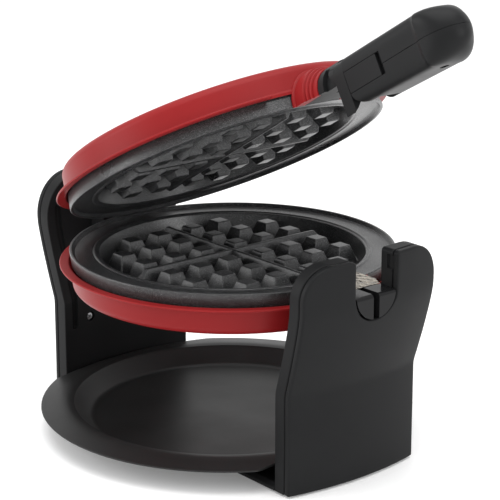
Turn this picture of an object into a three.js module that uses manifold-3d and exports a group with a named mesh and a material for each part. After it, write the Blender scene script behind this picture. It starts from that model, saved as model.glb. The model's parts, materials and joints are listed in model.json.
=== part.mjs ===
// A rotating waffle maker on a two-tower stand, in millimetres, +Z up.
// X runs along the axis that the cooking halves turn about, from the hinge tower to the
// handle tower. The origin is on the table, under the middle of the cooking plates.
// The lid is modelled standing open, as it is when the waffle is taken out.

import * as THREE from 'three';
import { mergeVertices } from 'three/addons/utils/BufferGeometryUtils.js';
import Module from 'manifold-3d';

const wasm = await Module();
wasm.setup();

// Clearances and turns shared by every piece
const fitGap = 0.3;
const overrun = 3;
const weldDistance = 0.0001;
const openTurn = THREE.MathUtils.degToRad(30.4);
const halfTurn = Math.PI;
const quarterTurn = Math.PI / 2;

// Facet counts
const dishFacets = 32;
const trayFacets = 28;
const panFacets = 20;
const boreFacets = 20;
const pinFacets = 12;
const smallFacets = 9;

// The stand
const axisHeight = 130.2;
const footProud = 1.2;
const foot = { radius: 6.5, sunk: 2, fromEnd: 20, fromSide: 12 };
const base = { half: 54.6, thickness: 4.7, frontSlope: 3 };

// The two towers: a thin curved slab each, swept outwards above a crease. Their crease, sweep and
// top are measured from the turning axis, and their feet from the lip of the halves between them.
const shell = { wall: 2.4, rim: 2.6, seam: 0.4, coverDepth: 4.4, creaseDrop: 62.7, sweep: 15.1, sweepDrop: 5.2 };
const crown = { inner: 4, outer: 6.5 };
const frontTower = { side: 1, fromLip: -9, depth: 13.7, widening: 1.6, rise: 23.8, corner: 22 };
const rearTower = { side: -1, fromLip: 6.6, depth: 14.2, margin: 0.6, widening: 2.8, rise: 27.3, corner: 29 };
const sweepCurve = 1.25;
const notch = { clear: 0.8, wall: 2.6 };
const notchPocket = { width: 4.5, height: 9.5, depth: 1.4, drop: 2.2, fromFace: 5.4 };
const sideGroove = { fromEdge: 7.4, width: 5, depth: 1.5, below: 21.5, fromTop: 20 };
const towerScrew = {
  headRadius: 3, headDepth: 1.6, shankRadius: 1.4, side: 32.2, rearDrop: 78.2, recess: 1.9,
  bossRadius: 4.2, slotWidth: 0.9, slotDepth: 0.7, clearRadius: 3.6,
};

// The axle at the hinge side and its bearing
const axle = { radius: 12, bore: 6, tail: 5.5 };
const bush = { wall: 2.2, flange: 4, flangeThickness: 1.5, bossWall: 3.4, tail: 2.4, padProud: 4.9, padRim: 1.6 };
const axleRing = { width: 2, radial: 3.4, groove: 1, split: 5 };
const gland = { radius: 6, bore: 3.6, flange: 2.6, flangeThickness: 1.8, height: 22, length: 9 };

// The browning control in the handle tower
const wheel = { radius: 20.8, width: 4.4, proud: 2.3, height: 36.7, bore: 3.4, ribs: 24, ribDepth: 0.7, fromCover: 0.7 };
const control = { radius: 9, shaftRadius: 3 };

// One cooking half: a dish-shaped housing with a wide thin lip, around a cast plate. The plate's
// circles are measured inwards from its rim, and its rim from the dish.
const parting = 0.8;
const dish = { radius: 109.5, draft: 1.3, wall: 2.2, corner: 8, airGap: 1.5 };
const lip = { flare: 8.5, drop: 9.1, thickness: 1.6, fillet: 3, mouth: 1.6, mouthDepth: 3.4 };
const plate = {
  overhang: 1.7, taper: 1.4, rimWidth: 2.2, seat: 0.7, step: 2.6, ledge: 3.4, beadInset: 16.2, beadWidth: 2.6,
  beadHeight: 0.9, border: 20.7, basinSlope: 3.5, basinDepth: 15, thickness: 3.3, skirt: 2.4, bossRadius: 4,
  postInset: 11,
};
const stud = { pitch: 24.3, firstOffset: 14.6, baseHalf: 9.2, topHalf: 5.2, height: 12, rows: 3 };
const divider = { baseHalf: 5, topHalf: 1.1, fromWall: 2, slant: 12 };
const element = { insidePosts: 16, radius: 3.2, gap: 26 };
const reflector = { beyondBasin: 7.1, rise: 5.6, flare: 5.2, thickness: 0.6 };
const thermostat = { radius: 9.5 };
const lens = { radius: 4, proud: 1, collar: 1.6, collarThickness: 0.6, fromEdge: 25.5, apart: 18 };

// The neck and the half-round journals that turn in the notch
const neck = { proud: 0.4, ringWidth: 3, ringStep: 1.2, rings: 2, lastStep: 1.1, tail: 4, over: 0.2, wall: 2.4 };
const journal = {
  radius: 16.8, recess: 1.1, tail: 15.5, slotHalf: 2.5, slotDepth: 3.8, bedInset: 4.4, bedDepth: 4.6,
  collar: 5.8, waistStep: 3.2, fairingHalf: 9,
};
const shield = { thickness: 0.6, fromSide: 0.8 };

// The lid hinge and the carrier of its ears and of the axle
const hinge = { inset: 10.5, depth: 10.7, pinRadius: 3, eye: 7.5 };
const ear = { inner: 13, width: 7, under: 7.3, clear: 3.2, top: 7.6 };
const carrier = { margin: 2, raised: 6, overlap: 10.5, shelf: 10, washerInset: 0.5, washer: 0.2 };
const knuckle = { back: 5, front: 8.4, drop: 7.6 };
const earSlot = { ahead: 13, drop: 8 };

// The folding grip and its hub; heights are from the turning axis, with the lid closed
const hub = { clear: 1.7, length: 9.5, lipLength: 8.5, low: -20.9, top: 10, slope: 2.4, tongueHalf: 8.6 };
const fold = { z: -8.6, lobe: 9.2, eye: 6.4, pinRadius: 2.6, pinHalf: 13.4 };
const grip = {
  length: 95.2, bulb: 16, top: 11.3, rootHeight: 28.8, shoulderHeight: 31.6,
  rootHalf: 16.2, shoulderHalf: 17, edge: 8.5, seam: -3.1, slotSide: 0.4,
};
const sidePlate = { low: -9, high: 4.6, length: 31.2, gap: 3.6, depth: 2.4, corner: 1.5 };
const gripScrew = { fromBulb: 13, headRadius: 2.6, headDepth: 1.6, recess: 3, shankRadius: 1.3, length: 9 };

// The drip tray under the halves, resting just over the base
const tray = {
  shift: -7.2, beyondLip: 11.4, rimWidth: 22.7, slopeWidth: 12.7, clear: 0.5, depth: 11.8, rimFall: 2.4,
  thickness: 1.2, edge: 2, frontGap: 3, rearGap: 1.2, trimSag: 4, trimHalf: 60,
};

// Circles of the halves that follow from those sizes
const lipRadius = dish.radius + lip.flare;
const plateRadius = dish.radius + plate.overhang;
const plateFoot = plateRadius - plate.taper;
const rimHeight = lip.drop + plate.seat;
const basinRadius = plateRadius - plate.border;
const floorRadius = basinRadius - plate.basinSlope;
const postRing = floorRadius - plate.postInset;
const elementRing = postRing - element.insidePosts;
const reflectorRadius = basinRadius + reflector.beyondBasin;

// The stack from the parting face down to the bottom of a half
const plateUnder = -(parting / 2 + plate.basinDepth + plate.thickness);
const reflectorLow = plateUnder - fitGap - 2 * element.radius - fitGap - reflector.thickness;
const dishDepth = dish.airGap + dish.wall - reflectorLow;

// The neck and the notch, round the journals
const neckRadius = journal.radius + neck.over;
const neckBore = neckRadius - neck.wall;
const neckRoot = lipRadius + neck.proud;
const neckRootRadius = neckRadius + neck.lastStep + neck.rings * neck.ringStep;
const neckEnd = neckRoot + neck.rings * neck.ringWidth + neck.tail;
const notchRadius = journal.radius + notch.clear;

// The towers' heights
const creaseHeight = axisHeight - shell.creaseDrop;
const sweepTop = axisHeight - shell.sweepDrop;

// The hinge pin's place, from the turning axis
const hingeX = hinge.inset - lipRadius;
const hingeRise = dishDepth - hinge.depth;
const earOuter = ear.inner + ear.width;

const colours = {
  red: [0xb23434, 0.34, 0],
  black: [0x2b2c2e, 0.46, 0],
  glossBlack: [0x3a3b3d, 0.2, 0],
  nonStick: [0x2f3133, 0.42, 0.35],
  trayBlack: [0x3a3b3d, 0.4, 0.3],
  steel: [0x9a9c9f, 0.32, 1],
  foil: [0xb8a888, 0.3, 1],
  rubber: [0x1d1e1f, 0.8, 0],
  amber: [0xc8742a, 0.25, 0],
  green: [0x4c9a55, 0.25, 0],
};

function finish(name) {
  const [color, roughness, metalness] = colours[name];
  return new THREE.MeshStandardMaterial({ color, roughness, metalness });
}

// Turns a closed three.js geometry into a solid, with every face pointing outwards.
function solidOf(geometry) {
  const bare = geometry.clone();
  bare.deleteAttribute('normal');
  bare.deleteAttribute('uv');
  const merged = mergeVertices(bare, weldDistance);
  const corners = merged.attributes.position.array;
  const faces = [];
  const index = merged.index.array;
  let volume = 0;
  for (let i = 0; i < index.length; i += 3) {
    const [a, b, c] = [index[i], index[i + 1], index[i + 2]];
    if (a === b || b === c || c === a) continue;
    faces.push(a, b, c);
    const [p, q, r] = [a, b, c].map((k) => new THREE.Vector3().fromArray(corners, 3 * k));
    volume += p.dot(q.cross(r));
  }
  if (volume < 0) faces.reverse();
  return new wasm.Manifold(new wasm.Mesh({
    numProp: 3,
    vertProperties: new Float32Array(corners),
    triVerts: new Uint32Array(faces),
  }));
}

function geometryOf(solid) {
  const mesh = solid.getMesh();
  const geometry = new THREE.BufferGeometry();
  geometry.setAttribute('position', new THREE.BufferAttribute(mesh.vertProperties, 3));
  geometry.setIndex(new THREE.BufferAttribute(mesh.triVerts, 1));
  geometry.computeVertexNormals();
  return geometry;
}

function piece(name, solid, look) {
  const mesh = new THREE.Mesh(geometryOf(solid), finish(look));
  mesh.name = name;
  return mesh;
}

function revolve(profile, facets) {
  return new THREE.LatheGeometry(profile.map(([r, h]) => new THREE.Vector2(r, h)), facets);
}

function revolveZ(profile, facets = dishFacets) {
  return solidOf(revolve(profile, facets).rotateX(quarterTurn));
}

function revolveX(profile, facets = boreFacets) {
  return solidOf(revolve(profile, facets).rotateZ(-quarterTurn));
}

function rodX(radius, start, end, y = 0, z = 0, facets = boreFacets) {
  return revolveX([[0, start], [radius, start], [radius, end], [0, end]], facets).translate([0, y, z]);
}

function rodY(radius, half, x, z, facets = boreFacets) {
  const rod = revolve([[0, -half], [radius, -half], [radius, half], [0, half]], facets);
  return solidOf(rod).translate([x, 0, z]);
}

function rodZ(radius, low, high, x, y, facets = smallFacets) {
  return revolveZ([[0, low], [radius, low], [radius, high], [0, high]], facets).translate([x, y, 0]);
}

function block(x0, x1, y0, y1, z0, z1) {
  const box = new THREE.BoxGeometry(x1 - x0, y1 - y0, z1 - z0);
  return solidOf(box.translate((x0 + x1) / 2, (y0 + y1) / 2, (z0 + z1) / 2));
}

// A block with sloping sides, from a base rectangle up to a smaller top one.
function frustum(baseX, baseY, topX, topY, low, high) {
  const box = new THREE.BoxGeometry(2, 2, 2);
  const corners = box.attributes.position;
  for (let i = 0; i < corners.count; i += 1) {
    const upper = corners.getZ(i) > 0;
    corners.setXYZ(
      i,
      corners.getX(i) * (upper ? topX : baseX),
      corners.getY(i) * (upper ? topY : baseY),
      upper ? high : low,
    );
  }
  return solidOf(box);
}

function extrude(shape, depth, curveSegments = 8) {
  return new THREE.ExtrudeGeometry(shape, { depth, bevelEnabled: false, curveSegments });
}

// An outline drawn in Y and Z, run along X.
function alongX(shape, start, end, curveSegments) {
  const turn = new THREE.Matrix4().makeBasis(
    new THREE.Vector3(0, 1, 0), new THREE.Vector3(0, 0, 1), new THREE.Vector3(1, 0, 0),
  );
  const run = extrude(shape, end - start, curveSegments).applyMatrix4(turn);
  return solidOf(run.translate(start, 0, 0));
}

// An outline drawn in X and Z, run along Y.
function alongY(shape, start, end, curveSegments) {
  const turn = new THREE.Matrix4().makeBasis(
    new THREE.Vector3(1, 0, 0), new THREE.Vector3(0, 0, 1), new THREE.Vector3(0, -1, 0),
  );
  const run = extrude(shape, end - start, curveSegments).applyMatrix4(turn);
  return solidOf(run.translate(0, end, 0));
}

function outline(points) {
  return new THREE.Shape(points.map(([x, y]) => new THREE.Vector2(x, y)));
}

// The tower slabs

function sweepAt(z) {
  const share = THREE.MathUtils.clamp((z - creaseHeight) / (sweepTop - creaseHeight), 0, 1);
  return shell.sweep * (1 - (1 - share) ** sweepCurve);
}

// Where the inner or the outer face of a tower starts, at its foot's edge.
function footOf(tower, which) {
  const inner = lipRadius + tower.fromLip;
  return which === 'inner' ? inner : inner + tower.depth;
}

function topOf(tower) {
  return axisHeight + tower.rise;
}

// Half of a tower's width below its crease, and at its shoulders
function lowHalf(tower) {
  return base.half + (tower.margin ?? 0);
}

function highHalf(tower) {
  return lowHalf(tower) + tower.widening;
}

// How far the inner or the outer face of a tower is from the middle of the stand.
function faceAt(tower, which, y, z) {
  const bow = crown[which] * (1 - (y / highHalf(tower)) ** 2);
  return tower.side * (footOf(tower, which) + bow + sweepAt(z));
}

// Rows up a tower's outline, each a height and a half width, set in from its edge.
function towerRows(tower, inset, sweepSteps, cornerSteps) {
  const rows = [{ z: inset, half: lowHalf(tower) - inset }];
  for (let i = 0; i <= sweepSteps; i += 1) {
    const share = i / sweepSteps;
    rows.push({
      z: THREE.MathUtils.lerp(creaseHeight, sweepTop, share),
      half: THREE.MathUtils.lerp(lowHalf(tower), highHalf(tower), share) - inset,
    });
  }
  const shoulder = Math.max(topOf(tower) - tower.corner, sweepTop + inset);
  for (let i = 0; i <= cornerSteps; i += 1) {
    const turn = (quarterTurn * i) / cornerSteps;
    rows.push({
      z: shoulder + (topOf(tower) - shoulder - inset) * Math.sin(turn),
      half: highHalf(tower) - tower.corner + (tower.corner - inset) * Math.cos(turn),
    });
  }
  return rows;
}

// A slab that is bowed across and swept up its height, between two faces given as functions.
function curvedSlab(rows, cells, near, far) {
  const wide = cells + 1;
  const corners = [];
  const faces = [];
  for (const face of [near, far]) {
    for (const row of rows) {
      for (let j = 0; j < wide; j += 1) {
        const y = (row.middle ?? 0) + row.half * ((2 * j) / cells - 1);
        corners.push(face(y, row.z), y, row.z);
      }
    }
  }
  const sheet = rows.length * wide;
  for (let i = 0; i + 1 < rows.length; i += 1) {
    for (let j = 0; j < cells; j += 1) {
      const a = i * wide + j;
      faces.push(a, a + 1, a + wide, a + 1, a + wide + 1, a + wide);
      faces.push(sheet + a, sheet + a + wide, sheet + a + 1);
      faces.push(sheet + a + 1, sheet + a + wide, sheet + a + wide + 1);
    }
  }
  const border = [];
  for (let j = 0; j < cells; j += 1) border.push(j);
  for (let i = 0; i + 1 < rows.length; i += 1) border.push(i * wide + cells);
  for (let j = cells; j > 0; j -= 1) border.push((rows.length - 1) * wide + j);
  for (let i = rows.length - 1; i > 0; i -= 1) border.push(i * wide);
  border.forEach((a, k) => {
    const b = border[(k + 1) % border.length];
    faces.push(a, sheet + a, b, b, sheet + a, sheet + b);
  });
  const geometry = new THREE.BufferGeometry();
  geometry.setAttribute('position', new THREE.Float32BufferAttribute(corners, 3));
  geometry.setIndex(faces);
  return solidOf(geometry);
}

// A tower slab between two depths, each measured outwards from its inner or outer face.
function towerSlab(tower, inset, from, to, fine = true) {
  const rows = towerRows(tower, inset, fine ? 4 : 2, fine ? 4 : 2);
  const near = (y, z) => faceAt(tower, from.face, y, z) + tower.side * from.out;
  const far = (y, z) => faceAt(tower, to.face, y, z) + tower.side * to.out;
  return curvedSlab(rows, fine ? 6 : 3, near, far);
}

function spanX(tower, from, to) {
  const ends = [tower.side * from, tower.side * to];
  return [Math.min(...ends), Math.max(...ends)];
}

function reachOut(tower) {
  return footOf(tower, 'outer') + crown.outer + shell.sweep + overrun;
}

// The U-shaped opening for the journals, open at the top of the handle tower.
function notchPrism(radius, start, end) {
  const shape = new THREE.Shape();
  const top = topOf(frontTower) + overrun;
  shape.moveTo(-radius, top);
  shape.lineTo(-radius, axisHeight);
  shape.absarc(0, axisHeight, radius, halfTurn, 2 * halfTurn, false);
  shape.lineTo(radius, top);
  return alongX(shape, start, end);
}

// The handle tower's screws are just over the browning wheel.
function screwHeight(tower) {
  if (tower === rearTower) return axisHeight - towerScrew.rearDrop;
  return wheel.height + wheel.radius + wheel.fromCover + towerScrew.bossRadius + 2 * fitGap;
}

function screwPlaces(tower) {
  return [-1, 1].map((way) => {
    const y = way * towerScrew.side;
    const z = screwHeight(tower);
    return { y, z, face: Math.abs(faceAt(tower, 'inner', y, z)) };
  });
}

function wheelCentreY() {
  return lowHalf(frontTower) + wheel.proud - wheel.radius;
}

// The wheel lies against the inside of the outer cover.
function wheelSpan() {
  const inside = faceAt(frontTower, 'outer', lowHalf(frontTower), wheel.height) - shell.wall;
  return [inside - wheel.fromCover - wheel.width, inside - wheel.fromCover];
}

function wheelSlot() {
  const [start, end] = wheelSpan();
  return rodX(wheel.radius + fitGap + wheel.fromCover, start - fitGap, end + fitGap, wheelCentreY(), wheel.height);
}

function innerShell(tower) {
  const seamOut = -(shell.coverDepth + shell.seam);
  let body = towerSlab(tower, 0, { face: 'inner', out: 0 }, { face: 'outer', out: seamOut });
  let hollow = towerSlab(
    tower, shell.rim, { face: 'inner', out: shell.wall }, { face: 'outer', out: overrun }, false,
  );
  const [start, end] = spanX(tower, 0, reachOut(tower));
  for (const screw of screwPlaces(tower)) {
    hollow = hollow.subtract(rodX(towerScrew.bossRadius, start, end, screw.y, screw.z, smallFacets));
  }
  if (tower === frontTower) {
    hollow = hollow.subtract(notchPrism(notchRadius + notch.wall, start, end));
    body = body.subtract(hollow).subtract(notchPrism(notchRadius, start, end));
    body = body.subtract(notchPockets()).subtract(wheelSlot());
  } else {
    const bossRadius = bushRadius() + fitGap + bush.bossWall;
    const padRadius = bushRadius() + bush.flange + bush.padRim;
    hollow = hollow.subtract(rodX(bossRadius, -bearingEnd(), -wallAtAxis(), 0, axisHeight));
    body = body.subtract(hollow).add(rodX(padRadius, -backWallAtAxis(), -padFace(), 0, axisHeight));
    body = body.subtract(rodX(bushRadius() + fitGap, start, 0, 0, axisHeight));
    for (const way of [-1, 1]) body = body.subtract(grooveCut(tower, way));
  }
  for (const screw of screwPlaces(tower)) {
    const [deep, out] = spanX(tower, screw.face - overrun, screw.face + towerScrew.recess);
    body = body.subtract(rodX(towerScrew.clearRadius, deep, out, screw.y, screw.z, smallFacets));
    const drill = towerScrew.shankRadius + fitGap;
    body = body.subtract(rodX(drill, start, end, screw.y, screw.z, smallFacets));
  }
  return body;
}

// Two small pockets near the top of the notch, one in each wall.
function notchPockets() {
  const end = handleFace() - notchPocket.fromFace;
  const top = topOf(frontTower) - notchPocket.drop;
  const deep = notchRadius + notchPocket.depth;
  return block(end - notchPocket.width, end, -deep, deep, top - notchPocket.height, top);
}

// The upright groove beside each edge of the hinge tower's inner face.
function grooveCut(tower, way) {
  const rows = [];
  const steps = 7;
  const top = topOf(tower) - sideGroove.fromTop;
  const bends = [creaseHeight - sideGroove.below];
  for (let i = 0; i <= steps; i += 1) bends.push(THREE.MathUtils.lerp(creaseHeight, top, i / steps));
  for (const z of bends) {
    const middle = way * (lowHalf(tower) - sideGroove.fromEdge);
    rows.push({ z, middle, half: sideGroove.width / 2 });
  }
  const near = (y, z) => faceAt(tower, 'inner', y, z) - tower.side * overrun;
  const far = (y, z) => faceAt(tower, 'inner', y, z) + tower.side * sideGroove.depth;
  return curvedSlab(rows, 1, near, far);
}

function outerCover(tower) {
  let body = towerSlab(tower, 0, { face: 'outer', out: -shell.coverDepth }, { face: 'outer', out: 0 });
  let hollow = towerSlab(
    tower, shell.rim, { face: 'outer', out: -shell.coverDepth - overrun }, { face: 'outer', out: -shell.wall }, false,
  );
  const [start, end] = spanX(tower, 0, reachOut(tower));
  for (const screw of screwPlaces(tower)) {
    hollow = hollow.subtract(rodX(towerScrew.bossRadius, start, end, screw.y, screw.z, smallFacets));
  }
  if (tower === frontTower) {
    hollow = hollow.subtract(notchPrism(notchRadius + notch.wall, start, end));
    body = body.subtract(hollow).subtract(notchPrism(notchRadius, start, end)).subtract(wheelSlot());
  } else {
    body = body.subtract(hollow);
    const through = rodX(gland.radius + fitGap, start, end, 0, gland.height);
    body = body.subtract(through);
  }
  for (const screw of screwPlaces(tower)) {
    const seat = Math.abs(faceAt(tower, 'outer', screw.y, screw.z)) - shell.wall;
    const [deep, out] = spanX(tower, 0, seat);
    const drill = towerScrew.shankRadius + fitGap;
    body = body.subtract(rodX(drill, deep, out, screw.y, screw.z, smallFacets));
  }
  return body;
}

function towerScrewSolid(tower, screw) {
  const head = screw.face + towerScrew.recess - fitGap;
  const seat = Math.abs(faceAt(tower, 'outer', screw.y, screw.z)) - shell.wall - fitGap;
  const [h0, h1] = spanX(tower, head - towerScrew.headDepth, head);
  const [s0, s1] = spanX(tower, head - towerScrew.headDepth / 2, seat);
  const [c0, c1] = spanX(tower, head - towerScrew.headDepth - overrun, head - towerScrew.headDepth + towerScrew.slotDepth);
  const half = towerScrew.slotWidth / 2;
  const reach = towerScrew.headRadius;
  const height = screw.z;
  return rodX(towerScrew.headRadius, h0, h1, screw.y, height, smallFacets)
    .add(rodX(towerScrew.shankRadius, s0, s1, screw.y, height, smallFacets))
    .subtract(block(c0, c1, screw.y - half, screw.y + half, height - reach / 2, height + reach / 2))
    .subtract(block(c0, c1, screw.y - reach / 2, screw.y + reach / 2, height - half, height + half));
}

// The base that joins the towers under the tray, with pockets for four rubber feet.
function footPlaces() {
  const half = base.half - foot.fromSide;
  const xs = [foot.fromEnd - footOf(rearTower, 'inner'), footOf(frontTower, 'inner') - foot.fromEnd];
  return xs.flatMap((x) => [-half, half].map((y) => [x, y]));
}

function basePlate() {
  const half = base.half;
  const side = outline([
    [-half, 0], [half, 0], [half, base.thickness / 2], [half - base.frontSlope, base.thickness],
    [base.frontSlope - half, base.thickness], [-half, base.thickness / 2],
  ]);
  let body = alongX(side, -footOf(rearTower, 'outer'), footOf(frontTower, 'outer'));
  for (const tower of [frontTower, rearTower]) {
    body = body.subtract(towerSlab(
      tower, -overrun, { face: 'inner', out: -fitGap }, { face: 'outer', out: 3 * overrun }, false,
    ));
  }
  for (const [x, y] of footPlaces()) {
    body = body.subtract(rodZ(foot.radius + fitGap, -overrun, foot.sunk + fitGap, x, y));
  }
  return body;
}

function footSolid(x, y) {
  return rodZ(foot.radius, -footProud, foot.sunk, x, y);
}

// Faces on the turning axis, and the axle's bearing

function handleFace() {
  return faceAt(frontTower, 'outer', 0, axisHeight);
}

function wallAtAxis() {
  return Math.abs(faceAt(rearTower, 'inner', 0, axisHeight));
}

function backWallAtAxis() {
  return wallAtAxis() + shell.wall;
}

function bearingEnd() {
  return backWallAtAxis() + bush.tail;
}

// The flat pad round the bearing, proud of the tower's curved face.
function padFace() {
  return wallAtAxis() - bush.padProud;
}

function bushRadius() {
  return axle.radius + fitGap + bush.wall;
}

function bearingBush() {
  const seat = -(padFace() - fitGap);
  return rodX(bushRadius(), -bearingEnd(), seat, 0, axisHeight)
    .add(rodX(bushRadius() + bush.flange, seat, seat + bush.flangeThickness, 0, axisHeight))
    .subtract(rodX(axle.radius + fitGap, -reachOut(rearTower), 0, 0, axisHeight));
}

function cordGland() {
  const face = Math.abs(faceAt(rearTower, 'outer', 0, gland.height));
  const head = -(face + fitGap);
  return rodX(gland.radius, -(face + fitGap + gland.flangeThickness), -(face - gland.length), 0, gland.height)
    .add(rodX(gland.radius + gland.flange, head - gland.flangeThickness, head, 0, gland.height))
    .subtract(rodX(gland.bore, -reachOut(rearTower), 0, 0, gland.height, smallFacets));
}

// The browning control

function browningControl() {
  const [start, end] = wheelSpan();
  const y = wheelCentreY();
  const wall = faceAt(frontTower, 'inner', y - control.radius, wheel.height) + shell.wall + fitGap;
  return rodX(control.radius, wall, start - fitGap, y, wheel.height)
    .add(rodX(control.shaftRadius, wall, end, y, wheel.height, smallFacets));
}

function browningWheel() {
  const [start, end] = wheelSpan();
  const shape = new THREE.Shape();
  for (let i = 0; i < 2 * wheel.ribs; i += 1) {
    const radius = wheel.radius - (i % 2) * wheel.ribDepth;
    const turn = (halfTurn * i) / wheel.ribs;
    const place = [radius * Math.cos(turn), radius * Math.sin(turn)];
    if (i) shape.lineTo(...place);
    else shape.moveTo(...place);
  }
  return alongX(shape, start, end)
    .translate([0, wheelCentreY(), wheel.height])
    .subtract(rodX(wheel.bore, start - overrun, end + overrun, wheelCentreY(), wheel.height, smallFacets));
}

// One cooking half, drawn with its parting face at height 0 and its housing below it

function arc(cx, cz, radius, from, to, steps) {
  return Array.from({ length: steps + 1 }, (_, i) => {
    const turn = from + ((to - from) * i) / steps;
    return [cx + radius * Math.cos(turn), cz + radius * Math.sin(turn)];
  });
}

function housingInside() {
  const centre = dish.radius - dish.corner;
  return [
    [plateFoot + lip.mouth, -lip.drop],
    [dish.radius + dish.draft - dish.wall, -lip.drop - lip.mouthDepth],
    ...arc(centre, dish.corner - dishDepth, dish.corner - dish.wall, 0, -quarterTurn, 2),
    [0, dish.wall - dishDepth],
  ];
}

function housingDish() {
  const centre = dish.radius - dish.corner;
  const under = -lip.drop - lip.thickness;
  return revolveZ([
    [0, -dishDepth],
    ...arc(centre, dish.corner - dishDepth, dish.corner, -quarterTurn, 0, 3),
    [dish.radius + dish.draft, under - lip.fillet],
    [dish.radius + dish.draft + lip.fillet, under],
    [lipRadius, -lip.drop - lip.thickness / 2],
    [lipRadius, -lip.drop],
    ...housingInside(),
  ]);
}

// Everything inside the housing, and above its lip as far out as the plate reaches.
function housingSpace() {
  const clear = plateRadius + lip.mouth;
  return revolveZ([[0, overrun], [clear, overrun], [clear, -lip.drop], ...housingInside()]);
}

function aboveParting(top) {
  const reach = lipRadius + neckEnd;
  return block(-reach, reach, -reach, reach, -parting / 2, top);
}

function neckSolid() {
  const profile = [[0, dish.radius - dish.corner], [neckRootRadius, dish.radius - dish.corner]];
  profile.push([neckRootRadius, neckRoot]);
  for (let i = 1; i <= neck.rings; i += 1) {
    const radius = neckRootRadius - i * neck.ringStep;
    const start = neckRoot + (i - 1) * neck.ringWidth;
    profile.push([radius, start], [radius, start + neck.ringWidth]);
  }
  profile.push([neckRadius, neckEnd - neck.tail], [neckRadius, neckEnd], [0, neckEnd]);
  return revolveX(profile).subtract(aboveParting(neckRootRadius + overrun)).subtract(housingSpace());
}

function postPlaces() {
  return [1, 3, 5, 7].map((eighth) => {
    const turn = (eighth * quarterTurn) / 2;
    return [postRing * Math.cos(turn), postRing * Math.sin(turn)];
  });
}

function lensPlaces() {
  return [-lens.apart / 2, lens.apart / 2].map((y) => [dish.radius - lens.fromEdge, y]);
}

function housing() {
  let body = housingDish().add(neckSolid());
  const bore = rodX(neckBore, dish.radius - dish.corner - overrun, neckEnd + overrun);
  body = body.subtract(bore);
  for (const [x, y] of postPlaces()) {
    body = body.add(rodZ(plate.bossRadius, dish.wall / 2 - dishDepth, reflectorLow - fitGap, x, y));
  }
  for (const [x, y] of lensPlaces()) {
    body = body.subtract(rodZ(lens.radius + fitGap, -dishDepth - overrun, overrun - dishDepth, x, y));
  }
  return body;
}

// The lid's housing also has the hinge knuckle, with a slot each side for the carrier's ears.
function lidHousing() {
  let body = housing();
  const inward = -hingeRise;
  const top = -dishDepth;
  body = body.add(block(
    hingeX - knuckle.back, hingeX + knuckle.front, -ear.inner + fitGap, ear.inner - fitGap,
    top + dish.wall / 2, inward + knuckle.drop,
  ));
  for (const way of [-1, 1]) {
    const sides = [way * (ear.inner - fitGap), way * (earOuter + 2 * fitGap)];
    body = body.subtract(block(
      -lipRadius - overrun, hingeX + earSlot.ahead, Math.min(...sides), Math.max(...sides),
      top - overrun, inward + earSlot.drop,
    ));
  }
  return body.subtract(rodY(hinge.pinRadius + fitGap, ear.inner, hingeX, inward));
}

function cookingPlate() {
  const rimTop = -parting / 2;
  const annulus = rimTop - plate.step;
  const floor = rimTop - plate.basinDepth;
  const under = floor - plate.thickness;
  const corner = plate.thickness;
  const beadOuter = plateRadius - plate.beadInset;
  let body = revolveZ([
    [0, under],
    [floorRadius, under],
    [basinRadius + corner, under + corner],
    [basinRadius + corner, annulus - corner],
    [plateFoot - plate.skirt, annulus - corner],
    [plateFoot - plate.skirt, rimTop - rimHeight],
    [plateFoot, rimTop - rimHeight],
    [plateRadius, rimTop],
    [plateRadius - plate.rimWidth, rimTop],
    [plateRadius - plate.ledge, annulus],
    [beadOuter, annulus],
    [beadOuter - plate.beadWidth / 2, annulus + plate.beadHeight],
    [beadOuter - plate.beadWidth, annulus],
    [basinRadius, annulus],
    [floorRadius, floor],
    [0, floor],
  ]);
  const high = floor + stud.height;
  const sunk = floor - plate.thickness / 2;
  const reach = floorRadius - divider.fromWall;
  const flat = reach - divider.slant;
  body = body.add(frustum(reach, divider.baseHalf, flat, divider.topHalf, sunk, high));
  body = body.add(frustum(divider.baseHalf, reach, divider.topHalf, flat, sunk, high));
  for (const [x, y] of studPlaces()) {
    body = body.add(frustum(stud.baseHalf, stud.baseHalf, stud.topHalf, stud.topHalf, sunk, high).translate([x, y, 0]));
  }
  for (const [x, y] of postPlaces()) {
    body = body.add(rodZ(plate.bossRadius, reflectorLow + reflector.thickness + fitGap, sunk, x, y));
  }
  return body;
}

// Three by three studs in each quarter, without the one that the round basin leaves no room for.
function studPlaces() {
  const places = [];
  for (const sx of [-1, 1]) {
    for (const sy of [-1, 1]) {
      for (let i = 0; i < stud.rows; i += 1) {
        for (let j = 0; j < stud.rows; j += 1) {
          const x = stud.firstOffset + i * stud.pitch;
          const y = stud.firstOffset + j * stud.pitch;
          if (Math.hypot(x, y) + stud.baseHalf < floorRadius) places.push([sx * x, sy * y]);
        }
      }
    }
  }
  return places;
}

// A ring on part of a circle, for the heating element's bent tube.
class RingPath extends THREE.Curve {
  getPoint(share) {
    const gap = element.gap / elementRing / 2;
    const turn = halfTurn + gap + share * 2 * (halfTurn - gap);
    const height = plateUnder - fitGap - element.radius;
    return new THREE.Vector3(elementRing * Math.cos(turn), elementRing * Math.sin(turn), height);
  }
}

function heatingElement() {
  const section = new THREE.Shape();
  section.absarc(0, 0, element.radius, 0, 2 * halfTurn, false);
  const tube = new THREE.ExtrudeGeometry(section, { steps: 14, curveSegments: 3, extrudePath: new RingPath() });
  return solidOf(tube);
}

function reflectorPan() {
  const low = reflectorLow;
  const foot0 = reflectorRadius - reflector.flare;
  return revolveZ([
    [0, low],
    [foot0, low],
    [reflectorRadius, low + reflector.rise],
    [reflectorRadius, low + reflector.rise + reflector.thickness],
    [foot0, low + reflector.thickness],
    [0, low + reflector.thickness],
  ], panFacets);
}

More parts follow.
